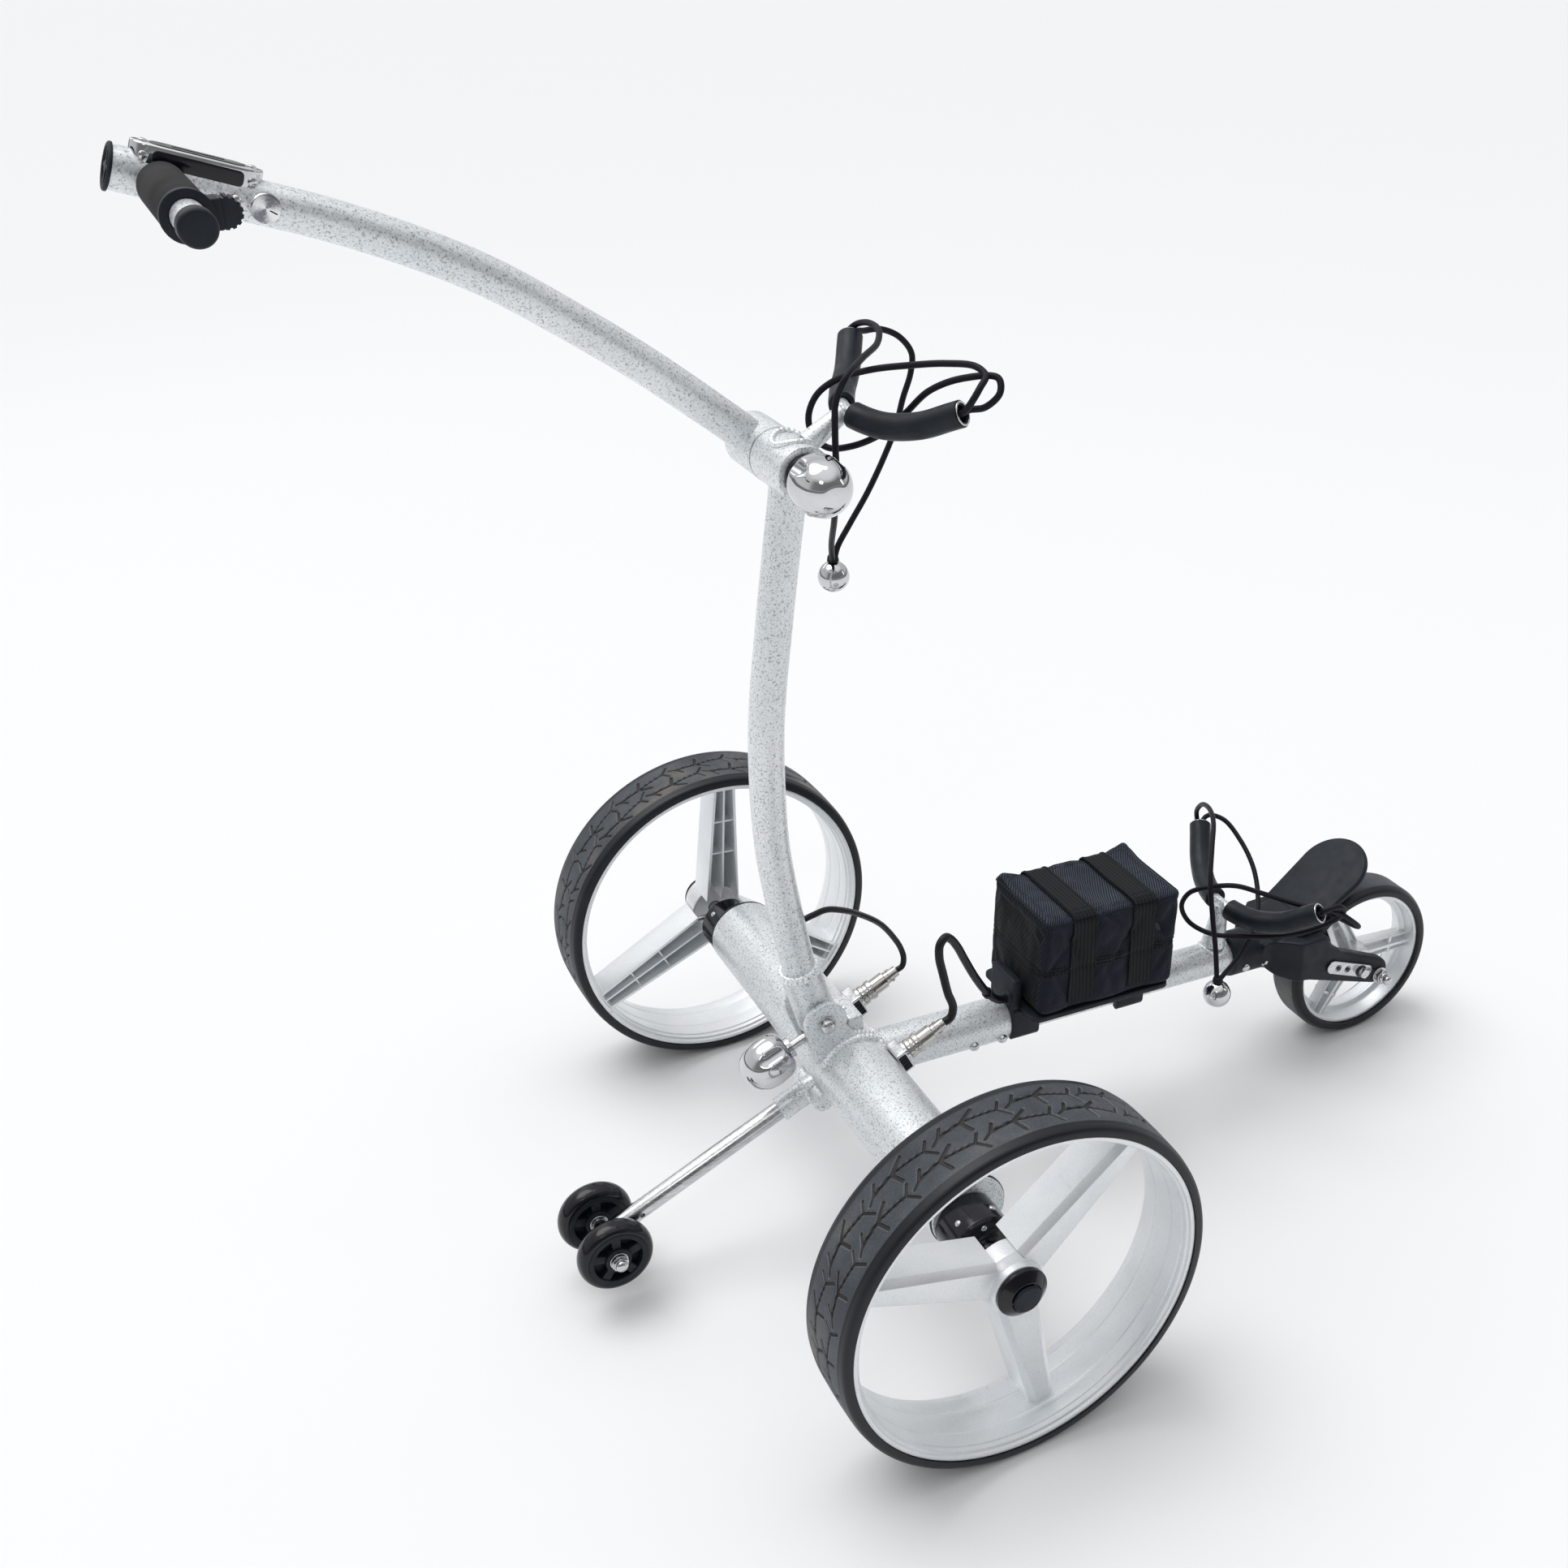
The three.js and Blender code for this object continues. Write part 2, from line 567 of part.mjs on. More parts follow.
function frontRim() {
  const at = v3(FRONT_X, 0, FRONT_R);
  let rim = ring([[FRONT_RIM_R, -16.4], [FRONT_RIM_R, 16.4], [67.6, 16.4], [66.8, 2], [61, 1.6],
    [61, -1.6], [66.8, -2], [67.6, -16.4]], at, v3(0, 1, 0), 32);
  rim = rim.add(across(FRONT_X, FRONT_R, -17, 17, 13, 14));
  for (const angle of [357, 117, 237]) {
    const a = deg(angle);
    const spoke = (r0, r1, h0, h1) => [[r0, h0], [r1, h1], [r1, -h1], [r0, -h0]].map(([r, t]) => [
      FRONT_X + r * Math.cos(a) - t * Math.sin(a), FRONT_R + r * Math.sin(a) + t * Math.cos(a)]);
    rim = rim.add(plate(spoke(8, 67.6, 11, 8), -2.4, 2.4));
    rim = rim.add(plate(spoke(8, 67.6, 1.8, 1.8), -9, 9));
    rim = rim.add(plate(spoke(44, 47, 9.2, 9), -7, 7));
  }
  return rim.subtract(across(FRONT_X, FRONT_R, -20, 20, 5 + GAP, 12));
}
piece('front_rim', frontRim(), 'alloy');

// Paddle-shaped rest that the bag's foot stands on, leaning forward.
const REST_HALF = 35;
const REST_LENGTH = 91.7;
const REST_LEAN = 54.8;
function bagRest() {
  const outline = [...arc(0, REST_LENGTH - REST_HALF, REST_HALF, 0, 180, 12), [-31, 0], [31, 0]];
  const shape = new THREE.Shape(outline.map(([x, y]) => new THREE.Vector2(x, y)));
  const g = new THREE.ExtrudeGeometry(shape, {
    depth: 4,
    bevelEnabled: true,
    bevelThickness: 1.6,
    bevelSize: 1.6,
    bevelOffset: -1.6,
    bevelSegments: 1,
  });
  g.rotateX(deg(90));
  g.rotateZ(deg(-90));
  g.rotateY(deg(REST_LEAN));
  g.translate(474.5, 0, 150.5);
  const crownTop = block(475, 0, 122, 120, 100, 2 * (30 + GAP));
  return cut(solid(g), forkPost(GAP), crownTop);
}
piece('bag_rest', bagRest(), 'black');

// --- battery tray, battery and bag ----------------------------------------------
function tray() {
  const deck = noseCase(BAG_REAR - 6, BAG_FRONT - 2, 44, NOSE_R + 1, TRAY_TOP, 8);
  let body = deck;
  for (const a of [158, 268]) {
    body = body.add(noseBlock(a, a + 28, -21, 21, -11, NOSE_R + 2));
  }
  body = body.add(noseBlock(158, 166, -20, 20, NOSE_R, 48));
  const seat = bar(nose(100, 0, 0), nose(400, 0, 0), NOSE_R + GAP, 18);
  const sleeveRoom = bar(nose(100, 0, 0), nose(SLEEVE_END + 2, 0, 0), 20.6, 24);
  return cut(body, seat, sleeveRoom);
}
piece('battery_tray', tray(), 'black');

const zipLevel = TRAY_TOP + GAP + BAG_H * 0.46;
const bagBottom = TRAY_TOP + GAP;
const bagTop = bagBottom + BAG_H;
const halfBag = BAG_W / 2;
function bagBody() {
  const outer = noseCase(BAG_REAR, BAG_FRONT, halfBag, bagBottom, zipLevel, 9);
  const inner = noseCase(BAG_REAR + SHEET, BAG_FRONT - SHEET, halfBag - SHEET, bagBottom + SHEET, zipLevel + 5, 7);
  return cut(outer, inner);
}
function bagLid() {
  const outer = noseCase(BAG_REAR, BAG_FRONT, halfBag, zipLevel + GAP, bagTop, 9);
  const inner = noseCase(BAG_REAR + SHEET, BAG_FRONT - SHEET, halfBag - SHEET, zipLevel - 5, bagTop - SHEET, 7);
  return cut(outer, inner);
}
piece('bag_body', bagBody(), 'fabric');
piece('bag_lid', bagLid(), 'fabric');
piece('battery_pack', noseCase(BAG_REAR + SHEET + 1.5, BAG_FRONT - SHEET - 1.5, halfBag - SHEET - 1.5,
  bagBottom + SHEET + GAP, bagTop - SHEET - 3, 6), 'black');

function strap(a0, a1) {
  const out = halfBag + 3;
  const band = noseBlock(a0, a1, -out, out, TRAY_TOP - 6, bagTop + 2.8);
  const room = noseBlock(a0 - 5, a1 + 5, -halfBag - 0.7, halfBag + 0.7, TRAY_TOP - 20, bagTop + 0.6);
  return cut(band, room);
}
piece('bag_strap_rear', strap(197, 222), 'fabric');
piece('bag_strap_front', strap(258, 283), 'fabric');

// --- anti-tip arm ---------------------------------------------------------------
function antiRod() {
  const rod = bar(anti(37, 0, 0), anti(ANTI_LENGTH + 7, 0, 0), 8, 12);
  const slot = bar(anti(ANTI_LENGTH - 34, -12, 0), anti(ANTI_LENGTH - 34, 12, 0), 2.2, 8);
  const inner = bar(anti(30, 0, 0), anti(ANTI_LENGTH - 20, 0, 0), 6, 10);
  const axle = across(ANTI_X, ANTI_Z, -39, 39, 4, 12);
  let body = join(cut(rod, inner, slot), axle);
  for (const s of [1, -1]) {
    body = body.add(turned([[0, 0], [6.8, 0], [6.8, 3.4], [5.4, 6], [0, 7.6]],
      v3(ANTI_X, s * 38, ANTI_Z), v3(0, s, 0), 12));
    body = body.add(across(ANTI_X, ANTI_Z, s * 7, s * 11.6, 6, 12));
  }
  const hole = bar(anti(50, 0, 4), anti(50, -9.7, 14), 2.6, 10);
  return cut(body, hole);
}
piece('anti_tip_rod', antiRod(), 'steel');

const buttonOut = anti(50, -9.7, 14).sub(anti(50, 0, 4)).normalize();
const buttonFoot = anti(50, 0, 4).addScaledVector(buttonOut, 3.4);
piece('anti_tip_button', turned([[0, 0], [2.3, 0], [2.3, 7.6], [1.6, 9], [0, 9.6]],
  buttonFoot, buttonOut, 10), 'steel');

function antiWheel(s) {
  const profile = [[4 + GAP, -11], [11, -10], [20, -9.6], [27, -9.4], [ANTI_R, 0], [27, 9.4],
    [20, 9.6], [11, 10], [4 + GAP, 11]];
  return ring(profile, v3(ANTI_X, s * 25, ANTI_Z), v3(0, 1, 0), 20);
}
piece('anti_tip_wheel_left', antiWheel(1), 'black');
piece('anti_tip_wheel_right', antiWheel(-1), 'black');

// --- mast -------------------------------------------------------------------------
const lean = deg(SOCKET_LEAN);
function fromPivot(up, ahead) {
  const x = PIVOT_X - up * Math.sin(lean) + ahead * Math.cos(lean);
  const z = PIVOT_Z + up * Math.cos(lean) + ahead * Math.sin(lean);
  return v3(x, 0, z);
}

const MAST_LINE = curve([[HUB_X, 0, HUB_Z], [-20.5, 0, 652], [-34.3, 0, 569], [-46.8, 0, 478],
  [-48.4, 0, 384], [-43.3, 0, 334], [-35, 0, 280], [-30, 0, 250]]);

function mast() {
  const tube = swept(MAST_LINE, MAST_R, 0, 16, 9);
  const bore = swept(part(MAST_LINE, 0.07, 0.93), MAST_R - 2.4, 0, 8, 8);
  const barrel = across(HUB_X, HUB_Z, -SPLIT_Y, SPLIT_Y - GAP / 2, JOINT_R, 20);
  const foot = bar(fromPivot(-21.5, 0), fromPivot(45, 0), SOCKET_R, 16);
  const bead = bar(fromPivot(43, 0), fromPivot(49, 0), SOCKET_R + 1, 16, MAST_R + 1);
  let body = cut(join(tube, foot, bead, barrel), bore);
  const clampBore = across(HUB_X, HUB_Z, -40, 90, 6.3, 14);
  const pivot = across(PIVOT_X, PIVOT_Z, -30, 30, 4.3, 12);
  const low = fromPivot(-20.4, 0);
  const slot = block(low.x, 0, low.z, 44, 10.6, 20, -SOCKET_LEAN);
  const front = fromPivot(2, 17);
  const relief = block(front.x, 0, front.z, 14, 10.6, 60, -SOCKET_LEAN);
  const wire = bar(v3(-43, 0, 300), v3(-15, 0, 303), 3.4, 10);
  body = cut(body, clampBore, pivot, slot, relief, wire);
  return body;
}
piece('mast', mast(), 'silver');

const UPPER_ARMS = [[69, -82, 723], [55, -62, 713.5], [40, -34, 708.5], [29, 0, 712],
  [42, 34, 713], [60, 62, 721], [72, 82, 733.5]];
let upperCradle = cradle(v3(HUB_X + 12, 0, HUB_Z + 12), v3(27, 0, 711), 8.5, UPPER_ARMS, 5);
upperCradle = cut(upperCradle, across(HUB_X, HUB_Z, -30, 30, JOINT_R + GAP, 20));
piece('upper_bag_cradle', upperCradle, 'silver');

piece('upper_hose_left', hose(UPPER_ARMS, 9.6, 1), 'rubber');
piece('upper_hose_right', hose(UPPER_ARMS, 9.6, -1), 'rubber');

function upperKnob() {
  const washer = across(HUB_X, HUB_Z, -SPLIT_Y - GAP, -30, 16, 20);
  const rod = across(HUB_X, HUB_Z, -34, 64, 6, 12);
  return join(washer, rod, clampKnob(v3(HUB_X, -29.5, HUB_Z), v3(0, -1, 0), 2));
}
piece('handle_clamp_knob', upperKnob(), 'chrome');

// --- handle -----------------------------------------------------------------------
const DIAL_X = -332;
const DIAL_Z = 884.6;
const DIAL_SEAT = HANDLE_Y - HANDLE_R - 0.2;   // face of the dial's boss on the handle tube
const HANDLE_LINE = curve([[HUB_X, HANDLE_Y, HUB_Z], [-52.5, HANDLE_Y, 711.5], [-104, HANDLE_Y, 754.6],
  [-150.9, HANDLE_Y, 790], [-197.8, HANDLE_Y, 822.6], [-240.9, HANDLE_Y, 846.5],
  [-295, HANDLE_Y, 871], [-350, HANDLE_Y, 891.2], [-411, HANDLE_Y, 913.3]]);

function handleTube() {
  const tube = swept(HANDLE_LINE, HANDLE_R, 0, 16, 11);
  const bore = swept(part(HANDLE_LINE, 0.06, 0.9999), HANDLE_R - 2.2, 0, 10, 9);
  const tail = bar(v3(-409, HANDLE_Y, 912.6), v3(-416, HANDLE_Y, 915.1), HANDLE_R - 2.2, 10);
  const barrel = across(HUB_X, HUB_Z, SPLIT_Y + GAP / 2, 72, JOINT_R, 20);
  const grip = across(GRIP_X, GRIP_Z, -104, 39, 9.5, 14);
  const dialBoss = across(DIAL_X, DIAL_Z, DIAL_SEAT, DIAL_SEAT + 5, 8.6, 20);
  let body = cut(join(tube, barrel, grip, dialBoss), bore, tail);
  const clampBore = across(HUB_X, HUB_Z, 10, 66, 6.3, 14);
  return cut(body, clampBore);
}
piece('handle_tube', handleTube(), 'silver');

const headDir = v3(-411, 0, 913.3).sub(v3(-350, 0, 891.2)).normalize();
const headEnd = v3(-411, HANDLE_Y, 913.3);
piece('handle_end_plug', turned([[0, -12], [9.9, -12], [9.9, GAP], [14.2, GAP], [14.2, 3.6], [12.6, 4.8],
  [10, 4.8], [9, 3], [0, 3]], headEnd, headDir, 18), 'black');

// Stadium-shaped switch panel standing on top of the handle tube.
function controlPanel() {
  const mid = v3(-368, HANDLE_Y, 897.7);
  const shape = new THREE.Shape(stadium(-27, 0, 27, 0, 10.5).map(([x, y]) => new THREE.Vector2(x, y)));
  const g = new THREE.ExtrudeGeometry(shape, {
    depth: 13,
    bevelEnabled: true,
    bevelThickness: 1.4,
    bevelSize: 1.4,
    bevelOffset: -1.4,
    bevelSegments: 1,
  });
  g.translate(0, 0, 5);
  g.rotateY(Math.atan2(headDir.z, -headDir.x));
  g.translate(mid.x, mid.y, mid.z);
  return cut(solid(g), swept(HANDLE_LINE, HANDLE_R + GAP, 0, 16, 11));
}
piece('control_panel', controlPanel(), 'chrome');

const sleeveProfile = [[9.5 + GAP, 0], [14.2, 0], [14.2, 95], [14.8, 96], [14.8, 100], [9.5 + GAP, 100]];
let gripSleeve = ring(sleeveProfile, v3(GRIP_X, 30, GRIP_Z), v3(0, -1, 0), 20);
const thumbPod = block(GRIP_X + 14, -60, GRIP_Z - 1, 9, 16, 17);
gripSleeve = join(gripSleeve, cut(thumbPod, across(GRIP_X, GRIP_Z, -80, 40, 12, 20)));
const THUMB_X = GRIP_X + 20.4;
gripSleeve = cut(gripSleeve, across(THUMB_X, GRIP_Z - 1, -67, -53, 9 + 0.8, 20),
  swept(HANDLE_LINE, HANDLE_R + GAP, 0, 16, 11));
piece('grip_sleeve', gripSleeve, 'foam');

piece('grip_end_cap', cut(
  turned([[0, 0], [10.7, 0], [10.7, 9], [9.4, 10.6], [0, 11]], v3(GRIP_X, -95.6, GRIP_Z), v3(0, -1, 0), 20),
  across(GRIP_X, GRIP_Z, -90, -104 - GAP, 9.5 + GAP, 16),
), 'black');

function thumbWheel() {
  const outline = [];
  const teeth = 14;
  for (let i = 0; i < teeth; i += 1) {
    outline.push(...arc(THUMB_X, GRIP_Z - 1, 9, (360 * i) / teeth, (360 * (i + 0.5)) / teeth, 1));
    outline.push(...arc(THUMB_X, GRIP_Z - 1, 8.2, (360 * (i + 0.6)) / teeth, (360 * (i + 0.9)) / teeth, 1));
  }
  return plate(outline, -66.4, -53.6);
}
piece('thumb_wheel', thumbWheel(), 'black');

function dial() {
  const y = DIAL_SEAT - GAP;
  const shape = turned([[0, 0], [9, 0], [9, 6.4], [8.2, 7.4], [0, 7.4]], v3(DIAL_X, y, DIAL_Z), v3(0, -1, 0), 24);
  const tick = block(DIAL_X + 4.2, y - 7.4, DIAL_Z - 3, 5, 1, 1.2, 35);
  return cut(shape, tick);
}
piece('speed_dial', dial(), 'steel');

// --- cords -------------------------------------------------------------------------
function cord(points, r, steps) {
  return swept(curve(points), r, 0, 8, steps);
}

const PLUG_TAIL = 44 + GAP + 38 + GAP;
const controlPath = [[-26, 0, 301.8], [-16, 0.5, 303.4], [-4, 3, 303], [12, 8, 295], [34, 20, 277], [59, 33, 252],
  [76, 41.5, 227], [83.5, 44.6, 212], [86, 45, 201.5], fromTube(PLUG_TAIL + 6, CABLE_PLUG_Y).toArray(),
  fromTube(PLUG_TAIL, CABLE_PLUG_Y).toArray()];
piece('control_cable', cord(controlPath, 2.6, 18), 'rubber');

const batteryPath = [fromTube(PLUG_TAIL, BATTERY_PLUG_Y).toArray(), fromTube(PLUG_TAIL + 7, BATTERY_PLUG_Y).toArray(),
  [87.5, -42, 203.5], [83, -41.6, 219], [79, -41, 239], [76.5, -39.4, 256], [78.5, -37.6, 266.5], [84.5, -36, 270.5],
  [90.5, -34, 265.5], [98, -31, 254], [108, -26, 234], [122, -20, 207], [137, -13.5, 183], [147, -10.6, 171.5],
  [153, -9.4, 167.8], [158.6, -9, 167]];
piece('battery_cable', cord(batteryPath, 3.6, 24), 'rubber');

// Steel ball hanging on the two strands of a bungee loop; the strands meet in a knot on the ball.
const BALL_R = 12.7;
function ball(x, y, z) {
  const profile = [[0, -12.4], [5, -11.6], [10.6, -7], [BALL_R, 0], [10.4, 7], [3, 12.2], [0, 12.2]];
  return turned(profile, v3(x, y, z), v3(0, 0, 1), 14);
}

function hangingLoop(strands, knot, r, steps) {
  const collar = bar(knot, v3(knot.x, knot.y, knot.z + 5.5), 5, 10, 4);
  return join(collar, ...strands.map((strand) => cord(strand, r, steps)));
}

const LOWER_BALL = v3(354, -52, 132);
const lowerStrandA = [[428.5, 91.6, 215.5], [430.3, 94.5, 217.6], [427.5, 92.5, 229.5], [422, 77.5, 246], [409, 48, 258.5],
  [395.5, 24, 260], [380, 3.5, 249], [366, -15.5, 229.5], [360, -29.5, 202.5], [357, -41.5, 174], [354, -49, 156],
  [353, -52, 146.5]];
const lowerStrandB = [[433.3, 88.6, 215.5], [435.6, 92.2, 218.1], [442, 92, 221.5], [451.5, 80.5, 219.5], [455.5, 57.5, 206.5],
  [453, 34, 192.5], [444.5, 13.5, 179.5], [430.5, -6, 168], [412.5, -22.5, 161], [387, -38, 152.5], [365, -48.5, 149],
  [356, -52, 146.5]];
const lowerKnot = v3(LOWER_BALL.x, LOWER_BALL.y, LOWER_BALL.z + 12.2 + GAP);
piece('bungee_lower_left', hangingLoop([lowerStrandA, lowerStrandB], lowerKnot, 2.3, 14), 'rubber');
piece('bungee_ball_lower', ball(...LOWER_BALL.toArray()), 'chrome');

const lowerLoop = [[433.3, -88.6, 215.5], [435.6, -92.2, 218.1], [444, -98, 217], [458, -102, 206], [469, -100, 195],
  [470, -94, 192], [459, -87, 199], [445, -78, 207], [427, -62, 211], [405, -40, 217], [388, -24, 221],
  [371, -8, 216], [361, 8, 204], [358, 14, 187], [364, 9, 171], [376, -10, 165], [396, -31, 168],
  [418, -53, 174], [437, -76, 188], [451, -93, 206], [448, -102, 221], [439, -103, 227], [431, -99, 223.5],
  [430.3, -94.5, 217.6], [428.5, -91.6, 215.5]];
piece('bungee_lower_right', cord(lowerLoop, 2.3, 36), 'rubber');

const UPPER_BALL = v3(53, 86, 551);
const upperStrandA = [[73.5, 89.8, 737.5], [75.3, 92.8, 739.4], [81, 91.5, 744.5], [84, 77, 749.5], [81, 51, 750.5],
  [69.5, 30, 747], [44, 3, 746], [20.5, -19, 741], [14, -16, 725.5], [13, -14.5, 700.5], [13, -14, 674.5],
  [24, 16, 629], [41, 61, 588.5], [51.5, 84, 566]];
const upperStrandB = [[78.3, 87, 737.5], [80.6, 90.8, 739.9], [92, 98, 737.5], [107, 101, 736], [123, 101, 728],
  [133, 100, 714], [131, 98, 700], [122, 95, 681], [114, 92, 661], [102, 90, 639], [86, 88, 614], [69, 87, 591],
  [57.5, 86, 575], [54.5, 86, 566]];
const upperKnot = v3(UPPER_BALL.x, UPPER_BALL.y, UPPER_BALL.z + 12.2 + GAP);
piece('bungee_upper_left', hangingLoop([upperStrandA, upperStrandB], upperKnot, 2.4, 14), 'rubber');
piece('bungee_ball_upper', ball(...UPPER_BALL.toArray()), 'chrome');

const upperLoop = [[75.3, -87.3, 726.5], [77.8, -91, 728.8], [86, -97.8, 731], [95.5, -101, 740], [97.5, -95, 748.5],
  [81, -76, 746], [67, -54, 734], [58, -34, 714], [46, -19, 697], [31, -2, 686], [19, 13, 683], [12, 22, 691],
  [12, 27.5, 703], [19, 28, 717], [31, 21, 728], [48, 0, 738], [67, -30, 746], [80, -54, 751], [89.5, -78, 753.5],
  [90.5, -90.5, 750], [82, -98, 745], [75, -98.5, 736], [72.3, -93.2, 728.6], [70.5, -90.2, 726.6]];
piece('bungee_upper_right', cord(upperLoop, 2.4, 36), 'rubber');

export default group;
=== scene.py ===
import json
import math

import bmesh
import bpy
import numpy as np
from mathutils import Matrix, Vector
from mathutils.bvhtree import BVHTree


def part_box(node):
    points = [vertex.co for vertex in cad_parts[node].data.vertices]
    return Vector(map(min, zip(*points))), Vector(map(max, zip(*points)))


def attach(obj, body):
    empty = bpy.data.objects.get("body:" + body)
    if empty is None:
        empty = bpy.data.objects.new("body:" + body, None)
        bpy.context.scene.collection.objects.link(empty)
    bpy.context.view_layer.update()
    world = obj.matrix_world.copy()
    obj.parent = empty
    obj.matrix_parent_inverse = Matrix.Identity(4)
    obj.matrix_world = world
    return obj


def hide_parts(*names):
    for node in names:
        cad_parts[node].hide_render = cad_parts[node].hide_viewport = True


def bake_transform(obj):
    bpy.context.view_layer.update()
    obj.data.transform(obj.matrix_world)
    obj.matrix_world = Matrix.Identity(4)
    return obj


# Electric golf trolley: the finished surfaces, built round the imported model.
# Shapes are laid out in millimetres from the drive axle (x = 0), and become metres in the
# part frame as each mesh is made.

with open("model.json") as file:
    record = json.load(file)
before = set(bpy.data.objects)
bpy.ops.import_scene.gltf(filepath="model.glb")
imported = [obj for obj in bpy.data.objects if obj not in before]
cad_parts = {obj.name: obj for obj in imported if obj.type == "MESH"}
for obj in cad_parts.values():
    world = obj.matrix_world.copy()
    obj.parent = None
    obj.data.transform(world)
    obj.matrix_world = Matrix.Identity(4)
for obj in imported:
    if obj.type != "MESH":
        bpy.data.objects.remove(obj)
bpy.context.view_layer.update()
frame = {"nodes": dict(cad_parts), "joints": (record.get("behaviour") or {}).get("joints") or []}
JOINTS = {joint["name"]: joint for joint in frame["joints"]}
AXLE_X = JOINTS["wheel_left_spin"]["pos_m"][0]
MM = 0.001


def vec(*values):
    return np.array(values, float)


def unit(v):
    v = np.asarray(v, float)
    return v / np.linalg.norm(v)


def to_mm(point):
    return (np.array(point, float) - vec(AXLE_X, 0, 0)) / MM


def to_m(points):
    return np.asarray(points, float) * MM + vec(AXLE_X, 0, 0)


def joint_at(name):
    return to_mm(JOINTS[name]["pos_m"])


def box_mm(node):
    low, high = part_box(node)
    return to_mm(low), to_mm(high)


# --- driving dimensions ---------------------------------------------------------
_, WHEEL_Y, WHEEL_R = joint_at("wheel_left_spin")
TYRE_W = np.diff([p[1] for p in box_mm("drive_tyre_left")])[0]
RIM_R = 140.6
FRONT = joint_at("front_wheel_spin")
FRONT_R = FRONT[2]
FRONT_W = 40
FRONT_RIM_R = 70.8
TUBE = vec(4, 0, 156)
TUBE_R = 32
TUBE_HALF = 215
NOSE_R = 16
NOSE_Z = 150
NOSE_TILT = math.radians(-3.1)
NOSE_END = 426
SLEEVE_END = 166
SLEEVE_R = 19.6
PIVOT = joint_at("mast_fold")
SOCKET_R = 17
LEAN = math.radians(14.6)
MAST_R = 13.8
HUB = joint_at("handle_fold")
JOINT_R = 20.5
SPLIT_Y = 25
JOINT_GAP = 0.3
HANDLE_Y = 48
HANDLE_R = 13.2
GRIP = vec(-386.5, 0, 902.5)
DIAL = vec(-332, HANDLE_Y, 884.6)
ANTI = joint_at("tip_wheel_left_spin") * vec(1, 0, 1)
ANTI_TOP = vec(TUBE[0], 0, 147)
BAG_HALF = 46
BAG_REAR = 170
BAG_FRONT = 308
BAG_LOW = 22.3
BAG_HIGH = 117.3
ZIP_LEVEL = 66
GAP = 0.3
Y = vec(0, 1, 0)
SIDES = (("left", 1), ("right", -1))

# --- camera ------------------------------------------------------------------------
CAMERA_AT = (-0.6100, -1.1310, 1.0968)
CAMERA_TURN = (61.19, 1.081, -27.45)
CAMERA_LENS = 41.683
CAMERA_SHIFT = -0.08

camera = bpy.data.objects.new("camera", bpy.data.cameras.new("camera"))
bpy.context.scene.collection.objects.link(camera)
bpy.context.scene.camera = camera
camera.location = CAMERA_AT
camera.rotation_euler = [math.radians(a) for a in CAMERA_TURN]
camera.data.lens = CAMERA_LENS
camera.data.sensor_width = 36
camera.data.shift_x = CAMERA_SHIFT
camera.data.clip_start = 0.05
camera.data.clip_end = 60


# --- lines ---------------------------------------------------------------------------
def resampled(points, count):
    """The same line as count evenly spaced points."""
    points = np.asarray(points, float)
    steps = np.linalg.norm(np.diff(points, axis=0), axis=1)
    travel = np.concatenate([[0], np.cumsum(steps)])
    wanted = np.linspace(0, travel[-1], count)
    return np.stack([np.interp(wanted, travel, points[:, i]) for i in range(3)], 1)


def line_length(points):
    return float(np.linalg.norm(np.diff(points, axis=0), axis=1).sum())


def spline(points, step=1.5):
    """Centripetal curve through the points, with a point every step."""
    p = [np.asarray(q, float) for q in points]
    p = [2 * p[0] - p[1]] + p + [2 * p[-1] - p[-2]]
    u = np.linspace(0, 1, 24, endpoint=False)[:, None]
    dense = []
    for a, b, c, d in zip(p, p[1:], p[2:], p[3:]):
        ta, tb, tc = (math.sqrt(np.linalg.norm(s)) for s in (b - a, c - b, d - c))
        m0 = ((b - a) / ta - (c - a) / (ta + tb) + (c - b) / tb) * tb
        m1 = ((c - b) / tb - (d - b) / (tb + tc) + (d - c) / tc) * tb
        dense.append(b + m0 * u + (-3 * b + 3 * c - 2 * m0 - m1) * u**2 + (2 * b - 2 * c + m0 + m1) * u**3)
    dense = np.concatenate(dense + [p[-2][None]])
    return resampled(dense, max(3, round(line_length(dense) / step)))


def stretch(points, start, end, count=40):
    """The part of a line between two fractions of its length."""
    whole = resampled(points, 400)
    at = np.linspace(start, end, count) * 399
    return np.stack([np.interp(at, np.arange(400), whole[:, i]) for i in range(3)], 1)


def perpendicular(axis, hint=None):
    """Two unit vectors across an axis, the first as near to hint as it can be."""
    axis = unit(axis)
    if hint is None:
        hint = (0, 0, 1) if abs(axis[2]) < 0.9 else (1, 0, 0)
    side = unit(np.asarray(hint, float) - axis * np.dot(axis, hint))
    return side, np.cross(axis, side)


def carried(points, hint=None):
    """Frames carried along a line without twist: tangents, sides and thirds."""
    points = np.asarray(points, float)
    tangents = np.gradient(points, axis=0)
    tangents /= np.linalg.norm(tangents, axis=1)[:, None]
    sides = [perpendicular(tangents[0], hint)[0]]
    for tangent in tangents[1:]:
        sides.append(unit(sides[-1] - tangent * np.dot(tangent, sides[-1])))
    sides = np.array(sides)
    return tangents, sides, np.cross(tangents, sides)


